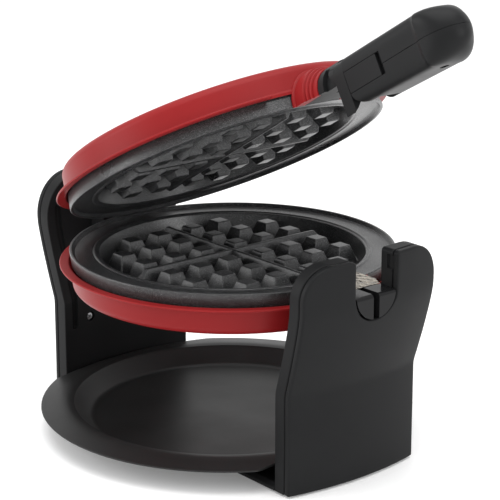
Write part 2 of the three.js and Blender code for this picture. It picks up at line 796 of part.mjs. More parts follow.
function thermostatPuck() {
  const low = reflectorLow + reflector.thickness + fitGap;
  return rodZ(thermostat.radius, low, plateUnder - fitGap, 0, 0, pinFacets);
}

function lampLens(x, y) {
  const inside = dish.wall - dishDepth + fitGap;
  return rodZ(lens.radius, -dishDepth - lens.proud, inside + lens.collarThickness, x, y)
    .add(rodZ(lens.radius + lens.collar, inside, inside + lens.collarThickness, x, y));
}

// The half-round journals

function journalProfile(end) {
  const inner = neckBore - fitGap;
  const start = neckEnd - journal.tail;
  return [
    [0, start], [inner, start], [inner, neckEnd + fitGap],
    [journal.radius, neckEnd + fitGap], [journal.radius, end], [0, end],
  ];
}

function lowerJournal() {
  const top = -parting / 2;
  const reach = journal.radius + overrun;
  const end = handleFace() - journal.recess;
  const bedEnd = neckEnd - journal.bedInset;
  const slot = journal.slotHalf;
  return revolveX(journalProfile(end))
    .subtract(aboveParting(reach))
    .subtract(block(0, bedEnd, -reach, reach, top - journal.bedDepth, reach))
    .subtract(block(bedEnd, end + overrun, -slot, slot, top - journal.slotDepth, reach))
    .subtract(block(end - journal.slotDepth, end + overrun, -slot, slot, -reach, reach));
}

function upperJournal() {
  const top = -parting / 2;
  const reach = journal.radius + overrun;
  const hubFace = hubStart() - fitGap;
  const collarEnd = neckEnd + journal.collar;
  const waist = journal.radius - journal.waistStep;
  let body = revolveX(journalProfile(collarEnd)).add(rodX(waist, collarEnd - overrun, hubFace));
  const lid = new THREE.Shape();
  lid.absarc(0, 0, journal.radius, 0, 2 * halfTurn, false);
  const fairing = alongX(lid, collarEnd - overrun, hubFace)
    .intersect(block(0, 2 * hubFace, -journal.fairingHalf, journal.fairingHalf, -reach, 0));
  body = body.add(fairing).subtract(aboveParting(reach));
  const slot = journal.slotHalf;
  return body.subtract(block(
    neckEnd, collarEnd - overrun / 2, -slot, slot, top - journal.slotDepth, reach,
  ));
}

// The bright sheet over the wires in the lower neck, on its bed in the journal.
function neckShield() {
  const bed = -parting / 2 - journal.bedDepth + fitGap;
  const inner = neckBore - fitGap;
  const half = Math.sqrt(inner ** 2 - bed ** 2) - shield.fromSide;
  const end = neckEnd - journal.bedInset - fitGap;
  return block(neckEnd - journal.tail, end, -half, half, bed, bed + shield.thickness);
}

// The carrier behind the lower half: it holds the axle and the lid's hinge pin

function hingeCarrier() {
  const pinUp = hingeRise;
  const front = -(lipRadius + ear.clear);
  const thrust = -(padFace() - 3 * fitGap - bush.flangeThickness);
  const back = thrust + carrier.washer;
  const half = earOuter + carrier.margin;
  const bottom = carrier.raised - dishDepth;
  const reach = carrier.overlap - dish.radius;
  const underLip = -lip.drop - lip.thickness - fitGap;
  const low = outline([
    [back, bottom], [reach, bottom], [reach, underLip], [front, underLip], [front, carrier.shelf], [back, carrier.shelf],
  ]);
  let body = alongY(low, -half, half);
  const arm = new THREE.Shape();
  arm.moveTo(back, 0);
  arm.lineTo(front, 0);
  arm.lineTo(front, pinUp - ear.under);
  arm.lineTo(hingeX, pinUp - hinge.eye);
  arm.absarc(hingeX, pinUp, hinge.eye, -quarterTurn, quarterTurn, false);
  arm.lineTo(front, pinUp + ear.top);
  arm.lineTo(back, pinUp);
  for (const way of [-1, 1]) {
    const sides = [way * ear.inner, way * earOuter];
    body = body.add(alongY(arm, Math.min(...sides), Math.max(...sides)));
  }
  body = body.subtract(grownHousing());
  const washerRadius = bushRadius() + bush.flange - carrier.washerInset;
  body = body.add(rodX(washerRadius, thrust, back + fitGap));
  const axleEnd = -(bearingEnd() + axle.tail);
  const groove = ringSpan();
  body = body.add(rodX(axle.radius, axleEnd, back + fitGap));
  body = body.subtract(ringSolid(axle.radius - axleRing.groove, overrun, groove[0] - fitGap, groove[1] + fitGap));
  body = body.subtract(rodY(hinge.pinRadius + fitGap, half + overrun, hingeX, pinUp));
  return body.subtract(rodX(axle.bore, axleEnd - overrun, front - overrun, 0, 0, smallFacets));
}

// The lower housing's outer form with the fitting clearance all round it.
function grownHousing() {
  const centre = dish.radius - dish.corner;
  const under = -lip.drop - lip.thickness;
  return revolveZ([
    [0, -dishDepth - fitGap],
    ...arc(centre, dish.corner - dishDepth, dish.corner + fitGap, -quarterTurn, 0, 3),
    [dish.radius + dish.draft + fitGap, under - lip.fillet],
    [dish.radius + dish.draft + lip.fillet, under - fitGap],
    [lipRadius + fitGap, under - fitGap],
    [lipRadius + fitGap, 0],
    [0, 0],
  ]);
}

function hingePin() {
  return rodY(hinge.pinRadius, earOuter, hingeX, hingeRise, pinFacets);
}

function ringSolid(inner, radial, start, end) {
  return revolveX([[inner, start], [inner + radial, start], [inner + radial, end], [inner, end], [inner, start]]);
}

// The ring behind the bush, in the axle's groove.
function ringSpan() {
  const start = -(bearingEnd() + fitGap + axleRing.width);
  return [start, start + axleRing.width];
}

function retainingRing() {
  const [start, end] = ringSpan();
  const ring = ringSolid(axle.radius - axleRing.groove + fitGap, axleRing.radial, start, end);
  const half = axleRing.split / 2;
  return ring.subtract(block(start - overrun, end + overrun, -half, half, -axle.radius - bush.wall - overrun, 0));
}

// The hub, the pin and the folding grip, drawn with the lid closed

function hubStart() {
  return handleFace() + hub.clear;
}

function hubEnd() {
  return hubStart() + hub.length;
}

// The fold pin stands clear of the hub by the grip's rounded root.
function foldX() {
  return hubEnd() + fold.lobe + fitGap;
}

function gripStart() {
  return hubEnd() + fitGap;
}

function gripEnd() {
  return gripStart() + grip.length;
}

function gripShoulder() {
  return gripEnd() - grip.bulb;
}

function handleHub() {
  const start = hubStart();
  const end = hubEnd();
  const x = foldX();
  const body = alongY(outline([
    [start, hub.low], [start + hub.lipLength, hub.low], [end, fold.z - fold.lobe - fitGap], [end, hub.top],
    [start, hub.top + hub.slope],
  ]), -grip.rootHalf, grip.rootHalf);
  const tongue = new THREE.Shape();
  tongue.moveTo(start + overrun, fold.z - fold.eye);
  tongue.lineTo(x, fold.z - fold.eye);
  tongue.absarc(x, fold.z, fold.eye, -quarterTurn, quarterTurn, false);
  tongue.lineTo(start + overrun, fold.z + fold.eye);
  return body
    .add(alongY(tongue, -hub.tongueHalf, hub.tongueHalf))
    .subtract(rodY(fold.pinRadius + fitGap, grip.rootHalf + overrun, x, fold.z));
}

function handlePin() {
  return rodY(fold.pinRadius, fold.pinHalf, foldX(), fold.z, pinFacets);
}

// Points round one section of the grip, a rectangle with rounded edges.
function gripSection(half, high, low, scale) {
  const middle = (high + low) / 2;
  const rise = ((high - low) / 2) * scale;
  const side = half * scale;
  const edge = grip.edge * scale;
  const points = [];
  const turns = [[1, 1, 0], [-1, 1, 1], [-1, -1, 2], [1, -1, 3]];
  for (const [sy, sz, quarter] of turns) {
    const start = quarter * quarterTurn;
    points.push(...arc(sy * (side - edge), middle + sz * (rise - edge), edge, start, start + quarterTurn, 4));
  }
  return points;
}

function gripStations() {
  const shoulder = gripShoulder();
  const low = grip.top - grip.shoulderHeight;
  const stations = [
    { x: gripStart(), points: gripSection(grip.rootHalf, grip.top, grip.top - grip.rootHeight, 1) },
    { x: shoulder, points: gripSection(grip.shoulderHalf, grip.top, low, 1) },
  ];
  const steps = 5;
  const lastTurn = (quarterTurn * steps) / (steps + 1);
  for (let i = 1; i <= steps; i += 1) {
    const turn = (lastTurn * i) / steps;
    const x = shoulder + (grip.bulb * Math.sin(turn)) / Math.sin(lastTurn);
    stations.push({ x, points: gripSection(grip.shoulderHalf, grip.top, low, Math.cos(turn)) });
  }
  return stations;
}

function gripBody() {
  const stations = gripStations();
  const corners = [];
  const faces = [];
  const round = stations[0].points.length;
  stations.forEach(({ x, points }) => points.forEach(([y, z]) => corners.push(x, y, z)));
  for (let i = 0; i + 1 < stations.length; i += 1) {
    for (let j = 0; j < round; j += 1) {
      const a = i * round + j;
      const b = i * round + ((j + 1) % round);
      faces.push(a, b, a + round, b, b + round, a + round);
    }
  }
  const last = (stations.length - 1) * round;
  for (let j = 1; j + 1 < round; j += 1) {
    faces.push(0, j + 1, j);
    faces.push(last, last + j, last + j + 1);
  }
  const geometry = new THREE.BufferGeometry();
  geometry.setAttribute('position', new THREE.Float32BufferAttribute(corners, 3));
  geometry.setIndex(faces);
  return solidOf(geometry);
}

// Cuts shared by both grip shells: the tongue's slot, the pin's hole and the side windows.
function gripCuts() {
  const reach = gripEnd();
  const slotHalf = hub.tongueHalf + grip.slotSide;
  let cuts = block(0, foldX() + fold.eye + fitGap, -slotHalf, slotHalf, -reach, fold.z + fold.eye + fitGap);
  cuts = cuts.add(rodY(fold.pinRadius + fitGap, fold.pinHalf + fitGap, foldX(), fold.z));
  for (const way of [-1, 1]) {
    const sides = [way * (grip.rootHalf - sidePlate.depth), way * reach];
    cuts = cuts.add(block(
      0, gripStart() + sidePlate.length + sidePlate.gap, Math.min(...sides), Math.max(...sides),
      sidePlate.low - fitGap, sidePlate.high + fitGap,
    ));
  }
  return cuts;
}

// The grip's lower root is rounded about the pin, so that it clears the hub as it folds.
function rootTrim() {
  const reach = gripEnd();
  const corner = block(0, foldX(), -reach, reach, -reach, fold.z);
  return corner.subtract(rodY(fold.lobe, reach, foldX(), fold.z));
}

function gripShell(upper) {
  const reach = 2 * gripEnd();
  const away = upper
    ? block(0, reach, -reach, reach, -reach, grip.seam + fitGap / 2)
    : block(0, reach, -reach, reach, grip.seam - fitGap / 2, reach);
  let body = gripBody().subtract(away).subtract(gripCuts()).subtract(rootTrim());
  if (!upper) {
    const low = grip.top - grip.shoulderHeight;
    const seat = low + gripScrew.recess;
    body = body.subtract(rodZ(gripScrew.headRadius + fitGap, low - overrun, seat, gripScrewX(), 0));
  }
  return body.subtract(rodZ(gripScrew.shankRadius + fitGap, -reach, gripScrewTop() + fitGap, gripScrewX(), 0));
}

function gripScrewX() {
  return gripShoulder() - gripScrew.fromBulb;
}

function gripScrewTop() {
  return grip.top - grip.shoulderHeight + gripScrew.recess + gripScrew.length;
}

function gripScrewSolid() {
  const seat = grip.top - grip.shoulderHeight + gripScrew.recess - fitGap;
  return rodZ(gripScrew.headRadius, seat - gripScrew.headDepth, seat, gripScrewX(), 0)
    .add(rodZ(gripScrew.shankRadius, seat - gripScrew.headDepth / 2, gripScrewTop(), gripScrewX(), 0));
}

function gripSidePlate(way) {
  const r = sidePlate.corner;
  const start = gripStart();
  const end = start + sidePlate.length;
  const shape = outline([
    [start, sidePlate.low], [end - r, sidePlate.low], [end, sidePlate.low + r],
    [end, sidePlate.high - r], [end - r, sidePlate.high], [start, sidePlate.high],
  ]);
  const sides = [way * (grip.rootHalf - sidePlate.depth + fitGap), way * grip.rootHalf];
  return alongY(shape, Math.min(...sides), Math.max(...sides)).subtract(rootTrim());
}

// The drip tray: a round pan with a wide rim, trimmed along both towers

function trimBlock(edge, way) {
  const reach = lipRadius + tray.beyondLip;
  const radius = (tray.trimHalf ** 2 + tray.trimSag ** 2) / (2 * tray.trimSag);
  const spread = Math.asin(reach / radius);
  const shape = new THREE.Shape();
  shape.moveTo(edge + way * reach, -reach);
  for (const [x, y] of arc(0, 0, radius, -spread, spread, 12)) shape.lineTo(edge + way * (x - radius), y);
  shape.lineTo(edge + way * reach, reach);
  return solidOf(extrude(shape, axisHeight).translate(0, 0, -overrun));
}

function dripTray() {
  const t = tray.thickness;
  const radius = lipRadius + tray.beyondLip;
  const rimInner = radius - tray.rimWidth;
  const wellRadius = rimInner - tray.slopeWidth;
  const floor = base.thickness + tray.clear + t;
  const high = floor + tray.depth;
  const low = high - tray.rimFall;
  return revolveZ([
    [0, floor - t],
    [wellRadius, floor - t],
    [rimInner + t, high - t],
    [radius - t, low - t],
    [radius - t, low - tray.edge],
    [radius, low - tray.edge],
    [radius, low],
    [rimInner, high],
    [wellRadius - t, floor],
    [0, floor],
  ], trayFacets)
    .translate([tray.shift, 0, 0])
    .subtract(trimBlock(footOf(frontTower, 'inner') - tray.frontGap, 1))
    .subtract(trimBlock(tray.rearGap - footOf(rearTower, 'inner'), -1));
}

// The assembly

function stand() {
  const group = new THREE.Group();
  group.position.z = footProud;
  group.add(piece('base_plate', basePlate(), 'black'));
  footPlaces().forEach(([x, y], i) => group.add(piece(`foot_${i + 1}`, footSolid(x, y), 'rubber')));
  group.add(piece('front_tower_inner_shell', innerShell(frontTower), 'black'));
  group.add(piece('front_tower_outer_cover', outerCover(frontTower), 'black'));
  group.add(piece('rear_tower_inner_shell', innerShell(rearTower), 'black'));
  group.add(piece('rear_tower_outer_cover', outerCover(rearTower), 'black'));
  for (const [name, tower] of [['front', frontTower], ['rear', rearTower]]) {
    screwPlaces(tower).forEach((screw, i) => {
      group.add(piece(`${name}_tower_screw_${i + 1}`, towerScrewSolid(tower, screw), 'steel'));
    });
  }
  group.add(piece('axle_bearing_bush', bearingBush(), 'glossBlack'));
  group.add(piece('cord_gland', cordGland(), 'rubber'));
  group.add(piece('browning_control', browningControl(), 'steel'));
  group.add(piece('browning_wheel', browningWheel(), 'black'));
  group.add(piece('drip_tray', dripTray(), 'trayBlack'));
  return group;
}

// The pieces that both halves share, drawn below the parting face.
function cookingHalf(name, shellSolid) {
  const group = new THREE.Group();
  group.add(piece(`${name}_housing`, shellSolid, 'red'));
  group.add(piece(`${name}_cooking_plate`, cookingPlate(), 'nonStick'));
  group.add(piece(`${name}_heating_element`, heatingElement(), 'steel'));
  group.add(piece(`${name}_reflector`, reflectorPan(), 'steel'));
  group.add(piece(`${name}_thermostat`, thermostatPuck(), 'steel'));
  const [power, ready] = lensPlaces();
  group.add(piece(`${name}_power_lens`, lampLens(...power), 'amber'));
  group.add(piece(`${name}_ready_lens`, lampLens(...ready), 'green'));
  return group;
}

function lowerHalf() {
  const group = new THREE.Group();
  group.position.z = footProud + axisHeight;
  group.add(cookingHalf('lower', housing()));
  group.add(piece('lower_journal', lowerJournal(), 'glossBlack'));
  group.add(piece('lower_neck_shield', neckShield(), 'foil'));
  group.add(piece('hinge_carrier', hingeCarrier(), 'black'));
  group.add(piece('hinge_pin', hingePin(), 'steel'));
  group.add(piece('axle_retaining_ring', retainingRing(), 'steel'));
  return group;
}

function lidPieces() {
  const group = new THREE.Group();
  const turned = cookingHalf('upper', lidHousing());
  turned.add(piece('upper_journal', upperJournal(), 'glossBlack'));
  turned.rotation.x = halfTurn;
  group.add(turned);
  group.add(piece('handle_hub', handleHub(), 'black'));
  group.add(piece('handle_pin', handlePin(), 'steel'));
  group.add(piece('grip_upper_shell', gripShell(true), 'black'));
  group.add(piece('grip_lower_shell', gripShell(false), 'black'));
  group.add(piece('grip_side_plate_near', gripSidePlate(-1), 'black'));
  group.add(piece('grip_side_plate_far', gripSidePlate(1), 'black'));
  group.add(piece('grip_screw', gripScrewSolid(), 'steel'));
  return group;
}

// The lid, swung up about its hinge pin.
function lid() {
  const swing = new THREE.Group();
  swing.position.set(hingeX, 0, footProud + axisHeight + hingeRise);
  swing.rotation.y = -openTurn;
  const pieces = lidPieces();
  pieces.position.set(-hingeX, 0, -hingeRise);
  swing.add(pieces);
  return swing;
}

const waffleMaker = new THREE.Group();
waffleMaker.add(stand(), lowerHalf(), lid());

export default waffleMaker;
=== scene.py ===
# %% [markdown]
# A rotating waffle maker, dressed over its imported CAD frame.
# The frame gives every rigid piece at its real place. What follows gives the pieces that show
# their rounded edges, their smooth round walls and their finishes, one piece at a time.

# %% Load the frame
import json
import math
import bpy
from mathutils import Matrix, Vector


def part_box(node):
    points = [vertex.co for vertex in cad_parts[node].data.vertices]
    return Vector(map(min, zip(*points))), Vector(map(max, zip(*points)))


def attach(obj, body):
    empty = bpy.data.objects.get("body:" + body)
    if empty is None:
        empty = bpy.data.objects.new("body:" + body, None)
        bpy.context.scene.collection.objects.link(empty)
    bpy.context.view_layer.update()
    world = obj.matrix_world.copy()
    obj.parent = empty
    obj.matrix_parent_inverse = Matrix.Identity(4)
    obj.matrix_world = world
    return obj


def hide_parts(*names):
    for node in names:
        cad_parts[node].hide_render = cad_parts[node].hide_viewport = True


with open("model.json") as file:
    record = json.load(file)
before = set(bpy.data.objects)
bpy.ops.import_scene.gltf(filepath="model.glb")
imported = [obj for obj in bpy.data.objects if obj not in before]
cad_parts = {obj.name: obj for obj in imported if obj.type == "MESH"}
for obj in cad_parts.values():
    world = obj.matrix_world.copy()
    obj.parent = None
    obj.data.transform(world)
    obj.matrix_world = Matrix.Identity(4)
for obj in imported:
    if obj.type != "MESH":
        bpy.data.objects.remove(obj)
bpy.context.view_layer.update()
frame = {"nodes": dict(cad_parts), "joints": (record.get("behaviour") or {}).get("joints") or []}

# %% [markdown]
# Blender works in metres and a product designer in millimetres, so sizes are written in
# millimetres and multiplied once. The joints of the frame say where the halves turn, where the
# lid is hinged and how far it stands open, so nothing here has to be measured again.

# %% Units and places from the frame
from types import SimpleNamespace as Sizes

import bpy
from mathutils import Matrix, Vector

MM = 0.001
joints = {joint["name"]: joint for joint in frame["joints"]}
nodes = frame["nodes"]
axis_height = joints["flip"]["pos_m"][2]
hinge_place = Vector(joints["lid_hinge"]["pos_m"])
lid_angle = math.radians(-joints["lid_hinge"]["range_deg"][0])
stand_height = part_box("base_plate")[0].z
print("axis height", round(axis_height / MM, 1), "mm, lid open", round(math.degrees(lid_angle), 1))

# Both halves are modelled alike, with the parting face at height 0 and the housing below.
lower_place = Matrix.Translation((0, 0, axis_height))
swing = (
    Matrix.Translation(hinge_place)
    @ Matrix.Rotation(-lid_angle, 4, "Y")
    @ Matrix.Translation(-hinge_place)
)
closed_place = swing @ lower_place
lid_place = closed_place @ Matrix.Rotation(math.pi, 4, "X")

# %% [markdown]
# Blender's operators act on what is selected. A few short helpers keep that in hand: each one
# does one thing a modeller would do by hand, on a single object. Between edit and leave, the
# object is in edit mode with all of its mesh selected.

# %% Helpers for selecting and editing
def only(piece):
    bpy.ops.object.select_all(action="DESELECT")
    piece.select_set(True)
    bpy.context.view_layer.objects.active = piece


def named(name):
    piece = bpy.context.active_object
    piece.name = name
    piece.data.name = name
    return piece


def edit(piece, kind="VERT"):
    only(piece)
    bpy.ops.object.mode_set(mode="EDIT")
    bpy.ops.mesh.select_mode(type=kind)
    bpy.ops.mesh.select_all(action="SELECT")


def leave():
    bpy.ops.object.mode_set(mode="OBJECT")


def move_by(piece, matrix):
    only(piece)
    piece.matrix_world = matrix @ piece.matrix_world
    bpy.ops.object.transform_apply(location=True, rotation=True, scale=True)
    return piece


# %% [markdown]
# Three modifiers do most of the finishing. Bevel breaks every sharp edge, because a moulded or
# pressed edge is never sharp and the small round catches the light. Boolean cuts a slot or a
# hole with a second object, and its manifold solver is the steadier one for a closed form with
# many slanting faces. Weighted Normal keeps the wide faces flat beside the narrow rounds.
# All are applied, so that the mesh itself holds what you see. Where only some edges are rounded,
# or the round is wider than the modifier allows, the bevel operator does it, on edges that are
# chosen by where their two ends are.

# %% Helpers for finishing
MERGE = 0.002


def apply_modifier(piece, kind, **settings):
    only(piece)
    modifier = piece.modifiers.new(kind.title(), kind)
    for key, value in settings.items():
        setattr(modifier, key, value)
    bpy.ops.object.modifier_apply(modifier=modifier.name)
    return piece


def round_edges(piece, width, segments=3, above=35):
    return apply_modifier(
        piece, "BEVEL", width=width * MM, segments=segments, limit_method="ANGLE",
        angle_limit=math.radians(above), harden_normals=False, use_clamp_overlap=True,
    )


def cut(piece, cutter, operation="DIFFERENCE", solver="EXACT"):
    apply_modifier(piece, "BOOLEAN", object=cutter, operation=operation, solver=solver)
    bpy.data.objects.remove(cutter)
    return piece


def smooth(piece, under=32):
    only(piece)
    bpy.ops.object.shade_smooth_by_angle(angle=math.radians(under))
    return apply_modifier(piece, "WEIGHTED_NORMAL", keep_sharp=True, weight=80)


def bevel_edges(piece, chosen, width, segments):
    edit(piece, "EDGE")
    bpy.ops.mesh.select_all(action="DESELECT")
    leave()
    points = piece.data.vertices
    for edge in piece.data.edges:
        edge.select = chosen(*(points[i].co / MM for i in edge.vertices))
    only(piece)
    bpy.ops.object.mode_set(mode="EDIT")
    bpy.ops.mesh.bevel(offset=width * MM, segments=segments, affect="EDGES")
    leave()
    return piece


def join(first, *others):
    only(first)
    for other in others:
        other.select_set(True)
    bpy.ops.object.join()
    return first


def tidy_normals(piece):
    edit(piece)
    bpy.ops.mesh.remove_doubles(threshold=MERGE * MM)
    bpy.ops.mesh.normals_make_consistent(inside=False)
    leave()
    return piece


def copy_to(source, name, place, turn=0.0):
    piece = source.copy()
    piece.data = source.data.copy()
    piece.name = piece.data.name = name
    bpy.context.scene.collection.objects.link(piece)
    return move_by(piece, Matrix.Translation(Vector(place) * MM) @ Matrix.Rotation(turn, 4, "Z"))


# %% [markdown]
# Straight-sided pieces start as a cube or a cylinder primitive, added at its real size and
# place. They are only starts: every one of them is cut, bevelled or bent before it is finished.
# A cutter reaches past the piece that it cuts: a little, or far beyond it where there is room,
# and never exactly to its face. A side block is given by its distances from the middle plane.

# %% Helpers for starting shapes
OVERRUN = 5
BEYOND = 40


def block(name, x0, x1, y0, y1, z0, z1):
    middle = Vector((x0 + x1, y0 + y1, z0 + z1)) * MM / 2
    size = ((x1 - x0) * MM, (y1 - y0) * MM, (z1 - z0) * MM)
    bpy.ops.object.select_all(action="DESELECT")
    bpy.ops.mesh.primitive_cube_add(size=1, location=middle, scale=size)
    piece = named(name)
    bpy.ops.object.transform_apply(location=True, rotation=True, scale=True)
    return piece


def side_block(name, x0, x1, way, near, far, z0, z1):
    low, high = sorted((way * near, way * far))
    return block(name, x0, x1, low, high, z0, z1)


def rod(name, radius, along, start, end, middle=(0, 0, 0), sides=64):
    turn = {"X": (0, math.pi / 2, 0), "Y": (math.pi / 2, 0, 0), "Z": (0, 0, 0)}[along]
    place = Vector(middle)
    place["XYZ".index(along)] = (start + end) / 2
    bpy.ops.object.select_all(action="DESELECT")
    bpy.ops.mesh.primitive_cylinder_add(
        vertices=sides, radius=radius * MM, depth=(end - start) * MM, location=place * MM, rotation=turn,
    )
    piece = named(name)
    bpy.ops.object.transform_apply(location=True, rotation=True, scale=True)
    return piece


# %% [markdown]
# Round pieces are turned, as on a lathe: an outline of radius and height is spun about an axis.
# A circle primitive gives a ring of joined points that the outline is laid on. An outline that
# starts and ends on the axis leaves a loose edge there, which is deleted after the spin.

# %% Helpers for turned shapes
def arc(middle_r, middle_h, radius, start, end, steps):
    turns = [math.radians(start + (end - start) * i / steps) for i in range(steps + 1)]
    return [(middle_r + radius * math.cos(turn), middle_h + radius * math.sin(turn)) for turn in turns]


def turned(name, outline, around="Z", steps=128):
    bpy.ops.object.select_all(action="DESELECT")
    bpy.ops.mesh.primitive_circle_add(vertices=len(outline))
    piece = named(name)
    for point, (radius, height) in zip(piece.data.vertices, outline):
        point.co = (radius * MM, 0, height * MM) if around == "Z" else (height * MM, 0, radius * MM)
    edit(piece)
    axis = (0, 0, 1) if around == "Z" else (1, 0, 0)
    bpy.ops.mesh.spin(steps=steps, angle=math.tau, center=(0, 0, 0), axis=axis)
    bpy.ops.mesh.select_all(action="SELECT")
    bpy.ops.mesh.remove_doubles(threshold=MERGE * MM)
    bpy.ops.mesh.delete_loose(use_verts=True, use_edges=True, use_faces=False)
    bpy.ops.mesh.select_all(action="SELECT")
    bpy.ops.mesh.normals_make_consistent(inside=False)
    leave()
    return piece


def slice_off(piece, point, normal):
    edit(piece)
    bpy.ops.mesh.bisect(plane_co=Vector(point) * MM, plane_no=normal, use_fill=True, clear_outer=True)
    leave()
    return piece


# %% [markdown]
# Some small CAD solids already have the right shape and only lack rounded edges. A copy of such
# a node is merged, because its triangles are loose, its flat faces are joined again, and then
# its edges are bevelled like those of any other piece.

# %% Helper for dressing a copy of a CAD node
CAD_MERGE = 0.004
FLAT_WITHIN = 1.5


def dressed(node, width, segments=3, above=38, under=32):
    piece = nodes[node].copy()
    piece.data = nodes[node].data.copy()
    piece.parent = None
    bpy.context.scene.collection.objects.link(piece)
    for key in list(piece.keys()):
        del piece[key]
    piece.name = piece.data.name = node + "_dressed"
    piece.data.materials.clear()
    edit(piece)
    bpy.ops.mesh.remove_doubles(threshold=CAD_MERGE * MM)
    bpy.ops.mesh.dissolve_limited(angle_limit=math.radians(FLAT_WITHIN))
    leave()
    round_edges(piece, width, segments, above)
    return smooth(piece, under)


# %% [markdown]
# Every finished piece gets one material.

# %% Helper for a finished piece
def finish_piece(piece, body, material, *replaced):
    piece.data.materials.clear()
    piece.data.materials.append(material)
    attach(piece, body)
    if replaced:
        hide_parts(*replaced)
    size = Vector(piece.dimensions) / MM
    print(piece.name, "faces", len(piece.data.polygons), "size", [round(v, 1) for v in size])
    return piece


# %% [markdown]
# The camera comes first, because it decides what shows. Its place, its long lens and its small
# vertical shift were found from the outlines of the real object: the two towers, the rims of
# the halves and the tray all meet their own outlines from this one point.

# %% Camera
TARGET = Vector((18.5, 0, 149.8))
DISTANCE = 1270.7
AZIMUTH = math.radians(50.43)
ELEVATION = math.radians(15.72)
FOCAL_LENGTH = 136.1
SENSOR = 36
SHIFT_DOWN = 0.0529

level = math.cos(ELEVATION)
away = Vector((math.sin(AZIMUTH) * level, -math.cos(AZIMUTH) * level, math.sin(ELEVATION)))
bpy.ops.object.camera_add(location=(TARGET + away * DISTANCE) * MM)
camera = bpy.context.active_object
camera.rotation_euler = away.to_track_quat("Z", "Y").to_euler()
camera.data.lens = FOCAL_LENGTH
camera.data.sensor_width = SENSOR
camera.data.shift_y = -SHIFT_DOWN
bpy.context.scene.camera = camera
print("camera at", [round(v, 3) for v in camera.location])

# %% [markdown]
# The stage is one pale floor, large enough that its far edge never shows, and it glows a little,
# as a light table does, so that it stays even far from the lamps. Black plastic shows its form
# only by what it reflects, so the light comes from wide soft panels and a bright surround.

# %% Floor and light
FLOOR_SIZE = 12


def set_inputs(node, **values):
    for label, value in values.items():
        node.inputs[label.replace("_", " ")].default_value = value


bpy.ops.object.select_all(action="DESELECT")
bpy.ops.mesh.primitive_plane_add(size=FLOOR_SIZE, location=(0, 0, 0))
floor = named("floor")
floor_paint = bpy.data.materials.new("pale floor")
floor_paint.use_nodes = True
set_inputs(
    floor_paint.node_tree.nodes["Principled BSDF"], Base_Color=(0.86, 0.86, 0.86, 1), Roughness=0.6,
    Specular_IOR_Level=0.2, Emission_Color=(1, 1, 1, 1), Emission_Strength=0.14,
)
floor.data.materials.append(floor_paint)


def soft_panel(name, place, aim, width, height, power):
    bpy.ops.object.light_add(type="AREA", location=place)
    panel = bpy.context.active_object
    panel.name = name
    panel.rotation_euler = (Vector(place) - Vector(aim)).to_track_quat("Z", "Y").to_euler()
    panel.data.shape = "RECTANGLE"
    panel.data.size = width
    panel.data.size_y = height
    panel.data.energy = power


soft_panel("overhead panel", (0.1, -0.1, 1.5), aim=(0, 0, 0.1), width=1.6, height=1.2, power=17)
soft_panel("left panel", (-0.9, -1.3, 0.7), aim=(0, 0, 0.12), width=1.0, height=0.9, power=10)
soft_panel("right panel", (1.7, 0.5, 0.7), aim=(0, 0, 0.12), width=0.8, height=0.9, power=8)

world = bpy.data.worlds.new("studio")
bpy.context.scene.world = world
world.use_nodes = True
set_inputs(world.node_tree.nodes["Background"], Color=(1, 1, 1, 1), Strength=1.0)
bpy.context.scene.view_settings.view_transform = "Standard"

# %% [markdown]
# Effects that several finishes share are node groups with their own inputs. The first one is the
# grain of a spark-eroded mould: fine bumps, with a broader unevenness that shifts the sheen.

# %% Node group for moulded grain
def new_group(name, inputs, outputs):
    tree = bpy.data.node_groups.new(name, "ShaderNodeTree")
    for label, value in inputs.items():
        socket = tree.interface.new_socket(label, in_out="INPUT", socket_type="NodeSocketFloat")
        socket.default_value = value
    for label in outputs:
        tree.interface.new_socket(label, in_out="OUTPUT", socket_type="NodeSocketFloat")
    return tree, tree.nodes.new("NodeGroupInput"), tree.nodes.new("NodeGroupOutput")


def feed(tree, socket, value):
    if isinstance(value, (int, float)):
        socket.default_value = value
    else:
        tree.links.new(value, socket)


def noise_node(tree, coordinates, detail, roughness, scale):
    noise = tree.nodes.new("ShaderNodeTexNoise")
    set_inputs(noise, Detail=detail, Roughness=roughness)
    tree.links.new(coordinates, noise.inputs["Vector"])
    feed(tree, noise.inputs["Scale"], scale)
    return noise.outputs["Fac"]


def spread(tree, source, span, low, high):
    spreader = tree.nodes.new("ShaderNodeMapRange")
    set_inputs(spreader, From_Min=span[0], From_Max=span[1])
    feed(tree, spreader.inputs["To Min"], low)
    feed(tree, spreader.inputs["To Max"], high)
    tree.links.new(source, spreader.inputs["Value"])
    return spreader.outputs["Result"]


# A noise seldom leaves this span.
NOISE_SPAN = (0.3, 0.7)


grain_group, grain_in, grain_out = new_group(
    "moulded grain", {"Grain Scale": 1500, "Smooth Roughness": 0.4, "Dull Roughness": 0.5},
    ["Height", "Roughness", "Mottle"],
)
grain_place = grain_group.nodes.new("ShaderNodeTexCoord").outputs["Object"]
fine_grain = noise_node(grain_group, grain_place, 3, 0.6, grain_in.outputs["Grain Scale"])
broad_wear = noise_node(grain_group, grain_place, 4, 0.55, scale=26)
dull_range = (grain_in.outputs["Smooth Roughness"], grain_in.outputs["Dull Roughness"])
grain_group.links.new(fine_grain, grain_out.inputs["Height"])
grain_group.links.new(broad_wear, grain_out.inputs["Mottle"])
worn = spread(grain_group, broad_wear, NOISE_SPAN, *dull_range)
grain_group.links.new(worn, grain_out.inputs["Roughness"])
print("group", grain_group.name, "with", len(grain_group.nodes), "nodes")

# %% [markdown]
# Non-stick coatings carry tiny flakes that sparkle. Cells of a Voronoi texture stand for the
# flakes: each has its own random value, and only those with a low one are let through.

